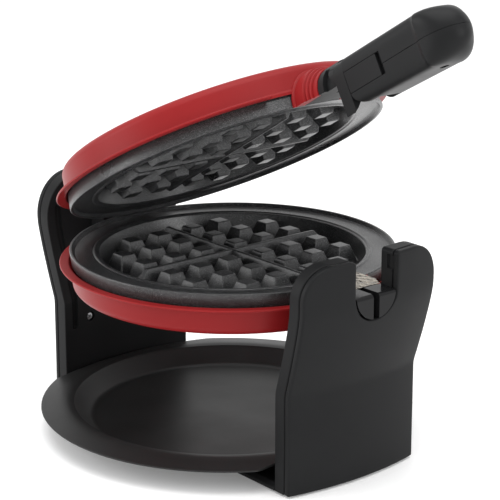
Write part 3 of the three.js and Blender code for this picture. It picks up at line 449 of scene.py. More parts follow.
# %% Node group for coating flakes
flake_group, flake_in, flake_out = new_group(
    "coating flakes", {"Flake Scale": 2600, "Amount": 0.12}, ["Flakes", "Height"],
)
flake_place = flake_group.nodes.new("ShaderNodeTexCoord").outputs["Object"]
cells = flake_group.nodes.new("ShaderNodeTexVoronoi")
flake_group.links.new(flake_place, cells.inputs["Vector"])
flake_group.links.new(flake_in.outputs["Flake Scale"], cells.inputs["Scale"])
pick = flake_group.nodes.new("ShaderNodeSeparateColor")
flake_group.links.new(cells.outputs["Color"], pick.inputs["Color"])
keep = flake_group.nodes.new("ShaderNodeMath")
keep.operation = "LESS_THAN"
flake_group.links.new(pick.outputs["Red"], keep.inputs[0])
flake_group.links.new(flake_in.outputs["Amount"], keep.inputs[1])
flake_group.links.new(keep.outputs["Value"], flake_out.inputs["Flakes"])
flake_group.links.new(pick.outputs["Green"], flake_out.inputs["Height"])
print("group", flake_group.name, "with", len(flake_group.nodes), "nodes")

# %% [markdown]
# A material starts from the Principled shader. Plastics take two close colours, mixed by the
# mottle of the grain group, so that no face is one flat tone. What is the same all over, such
# as the metallic value, stays a plain number on the shader.

# %% Helpers for materials
def new_material(name, slot):
    material = bpy.data.materials.new(name)
    material.use_nodes = True
    material["slot"] = slot
    return material, material.node_tree, material.node_tree.nodes["Principled BSDF"]


def placed_group(tree, group, **values):
    node = tree.nodes.new("ShaderNodeGroup")
    node.node_tree = group
    set_inputs(node, **values)
    return node.outputs


def mixed_colour(tree, shader, mask, first, second):
    mix = tree.nodes.new("ShaderNodeMix")
    mix.data_type = "RGBA"
    mix.inputs["A"].default_value = (*first, 1)
    mix.inputs["B"].default_value = (*second, 1)
    tree.links.new(mask, mix.inputs["Factor"])
    tree.links.new(mix.outputs["Result"], shader.inputs["Base Color"])
    return mix


def bumped(tree, shader, height, depth, strength):
    bump = tree.nodes.new("ShaderNodeBump")
    set_inputs(bump, Distance=depth * MM, Strength=strength)
    tree.links.new(height, bump.inputs["Height"])
    tree.links.new(bump.outputs["Normal"], shader.inputs["Normal"])


def grained(tree, shader, dark, light, roughness, grain):
    group = placed_group(
        tree, grain_group, Grain_Scale=grain, Smooth_Roughness=roughness[0], Dull_Roughness=roughness[1],
    )
    tree.links.new(group["Roughness"], shader.inputs["Roughness"])
    return group["Height"], mixed_colour(tree, shader, group["Mottle"], dark, light)


def moulded(name, slot, dark, light, roughness, grain=1500, depth=0.03, strength=0.5, **plain):
    material, tree, shader = new_material(name, slot)
    height, _ = grained(tree, shader, dark, light, roughness, grain)
    bumped(tree, shader, height, depth, strength)
    set_inputs(shader, **plain)
    return material


# %% [markdown]
# The stand and the grip are black plastic with a satin grain. On a photograph such plastic reads
# as dark grey, because it always reflects some of the bright surround.

# %% Plastics and rubber
satin_black = moulded(
    "satin black plastic", "stand_plastic", dark=(0.01, 0.0102, 0.0106), light=(0.0145, 0.0148, 0.0153),
    roughness=(0.36, 0.46), Specular_IOR_Level=0.07,
)
grip_black = moulded(
    "grip plastic", "grip_plastic", dark=(0.008, 0.0082, 0.0086), light=(0.013, 0.0133, 0.0138),
    roughness=(0.34, 0.44), grain=1100, Specular_IOR_Level=0.11,
)
gloss_black = moulded(
    "gloss black plastic", "gloss_black_plastic", dark=(0.006, 0.006, 0.0065), light=(0.01, 0.01, 0.0105),
    roughness=(0.1, 0.16), grain=700, depth=0.008, strength=0.2, Specular_IOR_Level=0.16,
)
rubber = moulded(
    "black rubber", "rubber", dark=(0.01, 0.01, 0.01), light=(0.018, 0.018, 0.018),
    roughness=(0.7, 0.85), grain=900, depth=0.04, strength=0.7,
)
satin_red = moulded(
    "satin red", "red_housing", dark=(0.205, 0.0085, 0.0095), light=(0.245, 0.011, 0.012),
    roughness=(0.36, 0.44), grain=600, depth=0.01, strength=0.25, Specular_IOR_Level=0.14,
)


def lens_plastic(name, slot, dark, light):
    return moulded(name, slot, dark, light, roughness=(0.1, 0.16), grain=500, depth=0.006, strength=0.2)


amber = lens_plastic("amber lens", "amber_lens", (0.55, 0.16, 0.02), (0.66, 0.22, 0.03))
green = lens_plastic("green lens", "green_lens", (0.05, 0.34, 0.08), (0.08, 0.42, 0.1))

# %% [markdown]
# The plates and the tray are coated metal. Both are nearly black with a sheen, and the coating
# of the plates has the flakes. The flakes brighten the colour and roughen the bump a little.

# %% Coated metal
COATING_GRAIN = 900
FLAKE_SCALE = 6500


def coated(name, slot, dark, light, roughness, flake_colour, amount, **plain):
    material, tree, shader = new_material(name, slot)
    _, base = grained(tree, shader, dark, light, roughness, COATING_GRAIN)
    flakes = placed_group(tree, flake_group, Flake_Scale=FLAKE_SCALE, Amount=amount)
    sparkle = mixed_colour(tree, shader, flakes["Flakes"], (0, 0, 0), flake_colour)
    tree.links.new(base.outputs["Result"], sparkle.inputs["A"])
    bumped(tree, shader, flakes["Height"], depth=0.012, strength=0.45)
    set_inputs(shader, **plain)
    return material


non_stick = coated(
    "non-stick coating", "non_stick_plate", dark=(0.01, 0.0104, 0.011), light=(0.015, 0.0155, 0.0165),
    roughness=(0.27, 0.36), flake_colour=(0.22, 0.22, 0.225), amount=0.09,
    Metallic=0.1, Specular_IOR_Level=0.5,
)
tray_coat = coated(
    "tray coating", "tray_coating", dark=(0.012, 0.0121, 0.0122), light=(0.017, 0.0171, 0.0173),
    roughness=(0.36, 0.44), flake_colour=(0.03, 0.03, 0.03), amount=0.05,
    Metallic=0.2, Specular_IOR_Level=0.22,
)

# %% [markdown]
# Bare metal is left for the small parts. Steel gets fine scratches from a noise that is
# stretched along one axis, and the sheet in the neck is crumpled and slightly warm. Its colour
# carries painted shade: it darkens to near black in the hollows of the crumple, because the
# same noise gives both its colour and its bump.

# %% Bare metal
COLOUR_SPAN = (0.36, 0.62)


def metal(name, slot, dark, light, roughness, stretch, scale, depth):
    material, tree, shader = new_material(name, slot)
    place = tree.nodes.new("ShaderNodeTexCoord").outputs["Object"]
    mapping = tree.nodes.new("ShaderNodeMapping")
    set_inputs(mapping, Scale=stretch)
    tree.links.new(place, mapping.inputs["Vector"])
    noise = noise_node(tree, mapping.outputs["Vector"], 4, 0.6, scale)
    mixed_colour(tree, shader, spread(tree, noise, COLOUR_SPAN, 0, 1), dark, light)
    tree.links.new(spread(tree, noise, NOISE_SPAN, *roughness), shader.inputs["Roughness"])
    bumped(tree, shader, noise, depth, strength=0.6)
    set_inputs(shader, Metallic=1)
    return material


steel = metal(
    "plain steel", "steel", dark=(0.36, 0.36, 0.37), light=(0.5, 0.5, 0.51),
    roughness=(0.24, 0.4), stretch=(1, 1, 8), scale=700, depth=0.01,
)
# Painted shade: the dark end of this colour darkens the hollows of the crumple, on a sheet that is itself
# bright.
foil = metal(
    "crumpled sheet", "bright_sheet", dark=(0.05, 0.034, 0.015), light=(0.46, 0.41, 0.33),
    roughness=(0.12, 0.3), stretch=(1, 1.6, 1), scale=190, depth=0.5,
)

# %% [markdown]
# The towers are thin slabs that bow outwards across their width and sweep outwards above a
# crease. The easy way to model such a wall is to make it flat first: rounded corners, notch and
# bevels are simple on a flat slab. Then it is sliced into strips and its points are moved by
# the same two curves that the real wall follows.

# %% The tower's two curves
CREASE = 67.5
CREASE_ROUND = 1.6
SWEEP = 15.1
SWEEP_TOP = 125.0
SWEEP_POWER = 1.25
BOW_INNER = 4.0
BOW_OUTER = 6.5
FRONT = Sizes(side=1, inner=109.0, depth=13.7, low=54.6, high=56.2, top=154.0, corner=22.0, screw=63)
REAR = Sizes(side=-1, inner=124.6, depth=14.2, low=55.2, high=58.0, top=157.5, corner=29.0, screw=52)
STRIP = Sizes(low=6, crease=1.5, high=4.6)
HALF_COLUMNS = 8


def between(first, last, share):
    return first + (last - first) * share


def swept(height):
    rise = height - CREASE
    rise = (rise + math.hypot(rise, CREASE_ROUND)) / 2
    share = min(rise / (SWEEP_TOP - CREASE), 1)
    return SWEEP * (1 - (1 - share) ** SWEEP_POWER)


def slice_up(piece, axis, places):
    normal = [0, 0, 0]
    normal[axis] = 1
    edit(piece)
    for place in places:
        at = [0, 0, 0]
        at[axis] = place * MM
        bpy.ops.mesh.select_all(action="SELECT")
        bpy.ops.mesh.bisect(plane_co=at, plane_no=normal)
    leave()


def bend_tower(piece, tower):
    rows = [STRIP.low * i for i in range(1, 11)]
    rows += [CREASE + STRIP.crease * i for i in range(-2, 3)]
    rows += [CREASE + 3 * STRIP.crease + STRIP.high * i for i in range(18)]
    slice_up(piece, 2, rows)
    slice_up(piece, 1, [tower.high * i / HALF_COLUMNS for i in range(1 - HALF_COLUMNS, HALF_COLUMNS)])
    for point in piece.data.vertices:
        depth, y, z = point.co / MM
        widen = min(max((z - CREASE) / (SWEEP_TOP - CREASE), 0), 1)
        half = between(tower.low, tower.high, widen)
        bow = between(BOW_INNER, BOW_OUTER, depth / tower.depth)
        across = y / tower.high
        reach = tower.inner + depth + bow * (1 - across**2) + swept(z)
        point.co = Vector((tower.side * reach, across * half, z + stand_height / MM)) * MM
    return smooth(tidy_normals(piece))


# %% [markdown]
# Each tower is two mouldings, an inner shell and an outer cover, with a fine seam between them.
# Their top corners are large rounds, made by bevelling two edges of the flat slab. The notch is
# cut by a cutter that is itself modelled: a cylinder with a block over it. Its mouth is flared.

# %% Flat slabs, corners and notch
NOTCH = 17.6
NOTCH_HEIGHT = 130.2
NOTCH_FLARE = 2.6
NEAR = 0.1
APART = 1


def flat_slab(name, tower, start, end):
    slab = block(name, start, end, -tower.high, tower.high, 0, tower.top)

    def top_corner(first, last):
        return abs(first.x - last.x) > APART and min(first.z, last.z) > tower.top / 2

    return bevel_edges(slab, top_corner, tower.corner, segments=18)


def notch_cutter(start, end):
    cutter = rod("notch cutter", NOTCH, "X", start, end, (0, 0, NOTCH_HEIGHT), 72)
    upper = block("notch cutter top", start, end, -NOTCH, NOTCH, NOTCH_HEIGHT, 2 * NOTCH_HEIGHT)
    return cut(cutter, upper, "UNION")


def notch_mouth(first, last):
    at_side = [abs(abs(end.y) - NOTCH) < NEAR and end.z > FRONT.top - NEAR for end in (first, last)]
    return all(at_side) and abs(first.x - last.x) > APART


def tower_slab(name, tower, start, end, edge):
    slab = flat_slab(name, tower, start, end)
    if tower is FRONT:
        cut(slab, notch_cutter(start - OVERRUN, end + OVERRUN))
        bevel_edges(slab, notch_mouth, NOTCH_FLARE, segments=6)
    return round_edges(slab, edge, above=30)


# %% [markdown]
# The rear tower's inner face shows a deep groove beside each edge, with a rounded lower end, and
# a screw in a round recess beside it. Both are cut while the slab is still flat, so they bend
# with it. The groove's cutter is a block whose ends are rounded by a bevel.

# %% Grooves and screw recesses
GROOVE = Sizes(side=47.8, half=2.8, depth=4.0, low=45.0, high=137.5, round=2.744)
RECESS = Sizes(side=32.2, radius=3.6, depth=1.9)
COVER_DEPTH = 4.4
SEAM = 0.4
SHELL_EDGE = 0.9
COVER_EDGE = 1.3


def groove_cutter(way):
    cutter = side_block(
        "groove cutter", -OVERRUN, GROOVE.depth, way, GROOVE.side - GROOVE.half, GROOVE.side + GROOVE.half,
        GROOVE.low, GROOVE.high,
    )
    return round_edges(cutter, GROOVE.round, segments=8)


def finish_tower(name, tower):
    seam = tower.depth - COVER_DEPTH
    inner = tower_slab(f"{name}_inner", tower, 0, seam - SEAM, SHELL_EDGE)
    cover = tower_slab(f"{name}_cover", tower, seam, tower.depth, COVER_EDGE)
    for way in (-1, 1):
        if tower is REAR:
            cut(inner, groove_cutter(way))
        place = (0, way * RECESS.side, tower.screw)
        cut(inner, rod("recess cutter", RECESS.radius, "X", -OVERRUN, RECESS.depth, place, 40))
    return bend_tower(inner, tower), bend_tower(cover, tower)


front_inner, front_cover = finish_tower("front_tower", FRONT)
rear_inner, rear_cover = finish_tower("rear_tower", REAR)

# %% [markdown]
# The browning wheel turns in a slot through the side of the front tower. The slot is cut after
# the walls are bent, because it is level and square to them. Its place comes from the wheel's
# own joint. The notch gets a small pocket in each side, and the rear tower gets two holes, one
# for the axle and one for the cord's gland.

# %% Slot, pockets and holes
def box_mm(node):
    return [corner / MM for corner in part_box(node)]


wheel_place = Vector(joints["browning_turn"]["pos_m"]) / MM
wheel_low, wheel_high = box_mm("browning_wheel")
SLOT_GAP = 0.7
slot_radius = (wheel_high.z - wheel_low.z) / 2 + SLOT_GAP
slot_ends = (wheel_low.x - SLOT_GAP / 2, wheel_high.x + SLOT_GAP / 2)
for shell in (front_inner, front_cover):
    cut(shell, rod("slot cutter", slot_radius, "X", *slot_ends, wheel_place, 72))

POCKET = Sizes(start=133.6, end=138.2, reach=NOTCH + 1.5, low=142.5, high=152, edge=0.5)
pocket = block(
    "pocket cutter", POCKET.start, POCKET.end, -POCKET.reach, POCKET.reach, POCKET.low, POCKET.high,
)
cut(front_inner, round_edges(pocket, POCKET.edge, segments=2))

THROUGH_REAR = (-170, -120)
AXLE_HOLE = 14.8
GLAND_HOLE = 6.3
cut(rear_inner, rod("axle hole cutter", AXLE_HOLE, "X", *THROUGH_REAR, (0, 0, axis_height / MM)))
gland_low, gland_high = box_mm("cord_gland")
gland_middle = (gland_low.z + gland_high.z) / 2
cut(rear_cover, rod("gland hole cutter", GLAND_HOLE, "X", *THROUGH_REAR, (0, 0, gland_middle)))

for piece, node in (
    (front_inner, "front_tower_inner_shell"), (front_cover, "front_tower_outer_cover"),
    (rear_inner, "rear_tower_inner_shell"), (rear_cover, "rear_tower_outer_cover"),
):
    smooth(piece)
    finish_piece(piece, "stand", satin_black, node)

# %% [markdown]
# The housing of each half is a shallow dish with a wide, thin lip that flares out of the wall.
# It is turned from one outline: bottom, rounded corner, drawn wall, flare, rounded lip, and
# back down the inside. The bottom is very slightly crowned, as pressed or moulded dishes are.

# %% Housing dish
LIP = Sizes(radius=118.0, drop=9.1, thick=1.6, fillet=2.2, mouth=111.4, mouth_edge=1.2, shoulder=4.4)
DISH = Sizes(radius=109.5, draft=1.3, wall=2.2, corner=6.5, depth=30.0, crown=0.9)


def crowned(radius, height):
    return height + DISH.crown * (radius / DISH.radius) ** 2


def dish_outline():
    flat = DISH.radius - DISH.corner
    low, under = -DISH.depth, -LIP.drop - LIP.thick
    wall = DISH.radius + DISH.draft
    edge, small = LIP.thick / 2, LIP.mouth_edge / 4
    outline = [(0, low)] + [(flat * i / 6, crowned(flat * i / 6, low)) for i in range(1, 6)]
    outline += arc(flat, crowned(flat, low) + DISH.corner, DISH.corner, -90, 0, 10)
    outline += arc(wall + LIP.fillet, under - LIP.fillet, LIP.fillet, 180, 90, 7)
    outline += arc(LIP.radius - edge, under + edge, edge, -80, 80, 8)
    outline += [(LIP.mouth + LIP.mouth_edge, -LIP.drop), (LIP.mouth + small, -LIP.drop - small)]
    outline += [(LIP.mouth, -LIP.drop - LIP.mouth_edge), (wall - DISH.wall, -LIP.drop - LIP.shoulder)]
    outline += arc(flat, low + DISH.corner, DISH.corner - DISH.wall, 0, -90, 6)
    return outline + [(0, low + DISH.wall)]


# %% [markdown]
# Where the neck leaves the dish there is a red half-round spout with stepped rings, like a
# bellows, and a raised flange at its root. It is turned about the long axis and then sliced at
# the parting face. The dish stays open behind it, so the wires can pass. Beside the neck the lip
# is cut back to the wall, and then the two are united into one moulding.

# %% Neck with its rings
NECK = Sizes(
    bore=14.6, start=100.6, end=128.4, chamfer=0.5, bore_chamfer=0.4, root=21.7, root_end=119.6, edge=0.8,
    flange=23.1, flange_start=107.4, flange_end=110.6, flange_edge=0.7,
    rings=2, ring=2.4, step=1.35, ring_edge=0.6, crevice=0.3, undercut=0.5, face=0.9,
    last_face=0.8, last_toe=0.2,
)
PARTING = 0.8


def neck_outline():
    outline = [(NECK.bore, NECK.start), (NECK.root, NECK.start), (NECK.root, NECK.flange_start)]
    edge = NECK.flange_edge
    outline += arc(NECK.flange - edge, NECK.flange_start + edge, edge, -90, 0, 4)
    outline += arc(NECK.flange - edge, NECK.flange_end - edge, edge, 0, 90, 4)
    outline += [(NECK.root, NECK.flange_end + NECK.crevice)]
    outline += arc(NECK.root - NECK.edge, NECK.root_end - NECK.edge, NECK.edge, 0, 90, 3)[1:]
    radius, end, edge = NECK.root, NECK.root_end, NECK.ring_edge
    for _ in range(NECK.rings):
        radius -= NECK.step
        outline += [(radius - NECK.undercut, end + NECK.crevice), (radius, end + NECK.face)]
        end += NECK.ring
        outline += arc(radius - edge, end - edge, edge, 0, 90, 3)
    radius -= NECK.step
    outline += [(radius - NECK.crevice, end + NECK.last_toe), (radius, end + NECK.last_face)]
    outline += [(radius, NECK.end - NECK.chamfer), (radius - NECK.chamfer, NECK.end)]
    return outline + [(NECK.bore + NECK.bore_chamfer, NECK.end), (NECK.bore, NECK.end - NECK.bore_chamfer)]


# %% [markdown]
# Three cutters finish the housing. The inside cutter takes off what of the neck would stand in
# the dish, the lip cutter is a ring kept to the width beside the neck, and the bore opens the
# neck into the dish. The lid's housing starts as a copy of the lower one.

# %% Housing with its neck
HOLLOW = Sizes(top=4, step=1, side=DISH.radius - 1, shoulder=4.2, corner=-24, floor_radius=100)
LIP_CUT = Sizes(start=60, end=140, half=38.0, keep=111.9, outer=125, below=2.3, above=1)
BORE_ENDS = (90, 140)


def hollow_cutter():
    floor = -DISH.depth + DISH.wall
    return turned("inside cutter", [
        (0, HOLLOW.top), (LIP.mouth, HOLLOW.top), (LIP.mouth, -LIP.drop - HOLLOW.step),
        (HOLLOW.side, -LIP.drop - HOLLOW.shoulder), (HOLLOW.side, HOLLOW.corner),
        (HOLLOW.floor_radius, floor), (0, floor),
    ], "Z", 96)


def lip_cutter():
    low, high = -LIP.drop - LIP.thick - LIP_CUT.below, LIP_CUT.above - LIP.drop
    inner, outer = LIP_CUT.keep, LIP_CUT.outer
    ring = turned("lip cutter", [(inner, low), (outer, low), (outer, high), (inner, high)], "Z", 150)
    half = LIP_CUT.half
    span = block("lip cutter span", LIP_CUT.start, LIP_CUT.end, -half, half, -BEYOND, BEYOND)
    return cut(ring, span, "INTERSECT")


def model_housing(name):
    housing = turned(name, dish_outline(), "Z", 160)
    neck = turned(name + " neck", neck_outline(), "X", 96)
    slice_off(neck, (0, 0, -PARTING / 2), (0, 0, 1))
    cut(neck, hollow_cutter())
    cut(housing, lip_cutter())
    cut(housing, neck, "UNION")
    return cut(housing, rod("bore cutter", NECK.bore, "X", *BORE_ENDS, sides=72))


lower_housing = model_housing("lower_housing_shell")
upper_housing = copy_to(lower_housing, "upper_housing_shell", (0, 0, 0))
print("each housing starts with", len(lower_housing.data.polygons), "faces")

# %% [markdown]
# The lid's housing also has the hinge knuckle. Two slots let the ears of the carrier reach the
# pin, and a block between them, joined to the wall, turns on it.

# %% Hinge knuckle in the lid
pin_low, pin_high = box_mm("hinge_pin")
pin_x = (pin_low.x + pin_high.x) / 2
pin_rise = (pin_low.z + pin_high.z) / 2 - axis_height / MM
CLEAR = 0.3
EAR = Sizes(inner=13.0, outer=20.0, start=-130, end=-94.5, below=3, above=8)
KNUCKLE = Sizes(half=EAR.inner - CLEAR, behind=5, ahead=8.4, low=1.1, high=7.6, edge=1.2, bore=3.3)

knuckle = block(
    "knuckle", pin_x - KNUCKLE.behind, pin_x + KNUCKLE.ahead, -KNUCKLE.half, KNUCKLE.half,
    -DISH.depth + KNUCKLE.low, -pin_rise + KNUCKLE.high,
)
cut(upper_housing, round_edges(knuckle, KNUCKLE.edge), "UNION")
for way in (-1, 1):
    ear_slot = side_block(
        "ear slot cutter", EAR.start, EAR.end, way, EAR.inner - CLEAR, EAR.outer + 2 * CLEAR,
        -DISH.depth - EAR.below, -pin_rise + EAR.above,
    )
    cut(upper_housing, ear_slot)
pin_cutter = rod("pin cutter", KNUCKLE.bore, "Y", -EAR.inner, EAR.inner, (pin_x, 0, -pin_rise), 32)
cut(upper_housing, pin_cutter)

for piece, place, body, node in (
    (lower_housing, lower_place, "lower_half", "lower_housing"),
    (upper_housing, lid_place, "lid", "upper_housing"),
):
    move_by(piece, place)
    smooth(piece, under=30)
    finish_piece(piece, body, satin_red, node)

# %% [markdown]
# A cooking plate is one aluminium casting: a raised rim, a flat annulus, a narrow bead, and the
# round basin with the studs. The round part is turned. Its outline runs from the middle of the
# underside out to the rim and back over the bead into the basin.

# %% Turned part of the plate
PLATE = Sizes(
    radius=111.2, foot=109.8, skirt=2.4, rim=2.2, rim_height=9.8, rim_edge=0.8, rim_inner_edge=0.6,
    step=2.6, ledge=4.0, ledge_fillet=0.9, bead_out=95.0, bead_in=92.4, bead=0.9, bead_toe=0.4,
    basin=90.5, basin_edge=1.0, floor=87.0, floor_inset=2.2, floor_fillet=2.6, depth=15.0, thick=3.3,
)
rim_top = -PARTING / 2
basin_floor = rim_top - PLATE.depth


def plate_outline():
    shelf, under = rim_top - PLATE.step, basin_floor - PLATE.thick
    low, foot = shelf - PLATE.thick, rim_top - PLATE.rim_height
    wall, skirt = PLATE.basin + PLATE.thick, PLATE.foot - PLATE.skirt
    outline = [(0, under), (PLATE.floor, under), (wall, basin_floor)]
    outline += [(wall, low), (skirt, low), (skirt, foot), (PLATE.foot, foot)]
    edge, inner, fillet = PLATE.rim_edge, PLATE.rim_inner_edge, PLATE.ledge_fillet
    outline += arc(PLATE.radius - edge, rim_top - edge, edge, 0, 90, 5)
    outline += arc(PLATE.radius - PLATE.rim + inner, rim_top - inner, inner, 90, 160, 4)
    outline += arc(PLATE.radius - PLATE.ledge, shelf + fillet, fillet, -20, -90, 4)
    middle = (PLATE.bead_out + PLATE.bead_in) / 2
    half = (PLATE.bead_out - PLATE.bead_in) / 2
    turns = [math.pi * i / 8 for i in range(1, 8)]
    outline += [(PLATE.bead_out + PLATE.bead_toe, shelf)]
    outline += [(middle + half * math.cos(t), shelf + PLATE.bead * math.sin(t)) for t in turns]
    outline += [(PLATE.bead_in - PLATE.bead_toe, shelf)]
    edge, fillet = PLATE.basin_edge, PLATE.floor_fillet
    outline += arc(PLATE.basin + edge, shelf - edge, edge, 90, 170, 5)
    outline += arc(PLATE.floor - PLATE.floor_inset, basin_floor + fillet, fillet, 0, -90, 6)
    return outline + [(0, basin_floor)]


# %% [markdown]
# One stud: a cube whose top face is scaled in, then bevelled so that the coating can run over
# it. The ridges that part the basin in quarters are made the same way. Both are modelled once
# and copied to every place of the grid, sunk a little into the floor so that no gap shows.

# %% Studs and ridges
STUD = Sizes(pitch=24.3, first=14.6, base=9.2, top=5.2, height=12.0, rows=3, edge=0.8, sunk=0.3)
RIDGE = Sizes(base=5.0, top=1.1, reach=85.0, slant=12.0, edge=0.7)


def tapered(name, base_x, base_y, top_x, top_y, height, edge):
    piece = block(name, -base_x, base_x, -base_y, base_y, 0, height)
    for point in piece.data.vertices:
        if point.co.z > height * MM / 2:
            point.co.x *= top_x / base_x
            point.co.y *= top_y / base_y
    return round_edges(piece, edge, segments=4, above=20)


def stud_places():
    offsets = [STUD.first + STUD.pitch * i for i in range(STUD.rows)]
    places = [(x, y) for x in offsets for y in offsets if math.hypot(x, y) + STUD.base < PLATE.floor]
    return [(sx * x, sy * y) for x, y in places for sx in (-1, 1) for sy in (-1, 1)]


def model_plate(name):
    plate = turned(name, plate_outline(), "Z", 160)
    height, foot = STUD.height + STUD.sunk, basin_floor - STUD.sunk
    stud = tapered("stud", STUD.base, STUD.base, STUD.top, STUD.top, height, STUD.edge)
    studs = [copy_to(stud, "stud copy", (x, y, foot)) for x, y in stud_places()]
    crest = RIDGE.reach - RIDGE.slant
    ridge = tapered("ridge", RIDGE.reach, RIDGE.base, crest, RIDGE.top, height, RIDGE.edge)
    ridges = [copy_to(ridge, "ridge copy", (0, 0, foot), turn) for turn in (0, math.pi / 2)]
    for start in (stud, ridge):
        bpy.data.objects.remove(start)
    print(name, "has", len(studs), "studs")
    return join(plate, *studs, *ridges)


lower_plate = model_plate("lower_plate_casting")
upper_plate = copy_to(lower_plate, "upper_plate_casting", (0, 0, 0))
for piece, place, body, node in (
    (lower_plate, lower_place, "lower_half", "lower_cooking_plate"),
    (upper_plate, lid_place, "lid", "upper_cooking_plate"),
):
    move_by(piece, place)
    smooth(piece, under=40)
    finish_piece(piece, body, non_stick, node)

# %% [markdown]
# The drip tray is a pressed pan: flat floor, sloping wall, wide nearly flat rim, and a small
# turned-down edge. It is turned as a full circle. In its outline, the small numbers beside the
# names are the steps that soften each bend. Along the front tower it is then sliced off
# straight, and along the rear tower it is trimmed by a very large disc, to follow that wall.

# %% Drip tray
TRAY = Sizes(
    middle=-7.2, radius=129.4, rim=106.7, crest=2.4, foot=94.0, floor=6.4, rim_high=18.2, rim_low=15.8,
    thick=1.2, edge=1.0, round=0.7, front=104.6, rear=-123.4, sag=5.4, half=60.0,
)


def tray_outline():
    foot, rim, crest, outer = TRAY.foot, TRAY.rim, TRAY.rim + TRAY.crest, TRAY.radius
    floor, high, low, thick = TRAY.floor, TRAY.rim_high, TRAY.rim_low, TRAY.thick
    slope = (high - floor) / (rim - foot)
    underside = [
        (0, floor - thick), (foot - 2, floor - thick), (foot + 1, floor - thick + 0.8),
        (rim - 1, high - thick - 1.4), (crest, high - thick), (outer - thick - 0.6, low - thick),
        (outer - 0.5, low - TRAY.edge - 0.2),
    ]
    edge = arc(outer - TRAY.round, low - TRAY.round, TRAY.round, 0, 90, 5)
    upside = [
        (crest + 8, high - 0.6), (crest + 3, high - 0.05), (crest, high), (crest - 2.6, high - 0.5),
        (rim - 1.6, high - 2), (foot + 1.6, floor + 1.6 * slope), (foot, floor + 0.5), (foot - 2.4, floor),
    ]
    return underside + edge + upside + [(0, floor)]


def trim_tray(tray):
    radius = (TRAY.half**2 + TRAY.sag**2) / (2 * TRAY.sag)
    keeper = rod("trim disc", radius, "Z", -BEYOND, BEYOND, (TRAY.rear + radius, 0, 0), 512)
    cut(tray, keeper, "INTERSECT")
    return slice_off(tray, (TRAY.front, 0, 0), (1, 0, 0))


tray = turned("drip_tray_pan", tray_outline(), "Z", 192)
move_by(tray, Matrix.Translation(Vector((TRAY.middle, 0, stand_height / MM)) * MM))
trim_tray(tray)
smooth(tray, under=30)
finish_piece(tray, "tray", tray_coat, "drip_tray")

# %% [markdown]
# The lower journal is the half-round plug that turns in the notch. Its face is two polished
# quarter panels, with a channel between them. Their upper front edge is rounded by five slices,
# each turned a little further, before the channel is cut. A recessed core, rounded all over, is
# then set into the channel.

# %% Lower journal
JOURNAL = Sizes(
    radius=16.8, start=112.9, end=143.2, bed=124.0, bed_start=110, bed_depth=4.6, round=2.8, edge=0.9,
)
CHANNEL = Sizes(half=2.5, behind=1, end=150, low=-20)
CORE = Sizes(behind=1.5, depth=3.8, low=-15.5, round=4, lap=0.4)


def half_plug(name, radius, start, end):
    plug = rod(name, radius, "X", start, end, sides=96)
    return slice_off(plug, (0, 0, rim_top), (0, 0, 1))


journal = half_plug("lower_journal_plug", JOURNAL.radius, NECK.end + CLEAR, JOURNAL.end)
tail = half_plug("journal tail", NECK.bore - CLEAR, JOURNAL.start, NECK.end + CLEAR)
cut(journal, tail, "UNION")
bed = block(
    "bed cutter", JOURNAL.bed_start, JOURNAL.bed, -BEYOND, BEYOND, rim_top - JOURNAL.bed_depth, OVERRUN,
)
cut(journal, bed)
round_middle = Vector((JOURNAL.end - JOURNAL.round, 0, rim_top - JOURNAL.round))
for turn in range(15, 90, 15):
    way = Vector((math.cos(math.radians(turn)), 0, math.sin(math.radians(turn))))
    slice_off(journal, round_middle + way * JOURNAL.round, way)
half = CHANNEL.half
channel = block(
    "channel cutter", JOURNAL.bed - CHANNEL.behind, CHANNEL.end, -half, half, CHANNEL.low, OVERRUN,
)
cut(journal, channel)
round_edges(journal, JOURNAL.edge, segments=4)
half += CORE.lap
core = block(
    "journal core", JOURNAL.bed - CORE.behind, JOURNAL.end - CORE.depth, -half, half,
    CORE.low, rim_top - CORE.depth,
)


def every_edge(*ends):
    return True


join(journal, bevel_edges(core, every_edge, CORE.round, segments=8))
move_by(journal, lower_place)
smooth(journal, under=30)
finish_piece(journal, "lower_half", gloss_black, "lower_journal")

# %% [markdown]
# Behind the journal a bright sheet covers the wires where they pass from half to half. A grid is
# crumpled by moving its points with a few waves, and is then given its thickness. A wave is how
# high it is, and how fast it runs along and across the sheet.

# %% Bright sheet in the neck
def grid(name, columns, rows):
    bpy.ops.object.select_all(action="DESELECT")
    bpy.ops.mesh.primitive_grid_add(x_subdivisions=columns, y_subdivisions=rows, size=1, location=(0, 0, 0))
    return named(name)


def crumple(u, v, waves):
    return sum(height * math.sin(along * u + across * v) for height, along, across in waves)


def finish_sheet(sheet, thickness, *replaced):
    apply_modifier(sheet, "SOLIDIFY", thickness=thickness * MM, offset=0)
    smooth(sheet, under=60)
    finish_piece(sheet, "lower_half", foil, *replaced)


SHIELD_WAVES = ((0.5, 23, 9), (0.35, -14, 31), (0.25, 21, 57))
SHIELD = Sizes(ripple=0.16, thick=0.2)
shield_low, shield_high = box_mm("lower_neck_shield")
shield_middle = (shield_low + shield_high) / 2
shield_size = shield_high - shield_low
shield = grid("neck_sheet", 30, 64)
for point in shield.data.vertices:
    u, v = point.co.x, point.co.y
    rise = SHIELD.ripple * crumple(u, v, SHIELD_WAVES)
    point.co = (shield_middle + Vector((u * shield_size.x, v * shield_size.y, rise))) * MM
finish_sheet(shield, SHIELD.thick, "lower_neck_shield")

# %% [markdown]
# A second sheet of the same foil lies over the open neck, from edge to edge of its rings. It is
# made like the first one, and its width follows the steps of the rings that carry it.

# %% Foil over the neck
COVER = Sizes(start=99.0, end=127.8, height=-0.22, ripple=0.09, inset=0.15, thick=0.08)
COVER_WAVES = ((0.5, 31, 6), (0.35, -17, 23), (0.25, 29, 41))


def ring_half(x):
    steps = min(max(math.ceil((x - NECK.root_end) / NECK.ring), 0), NECK.rings + 1)
    return NECK.root - NECK.step * steps - COVER.inset


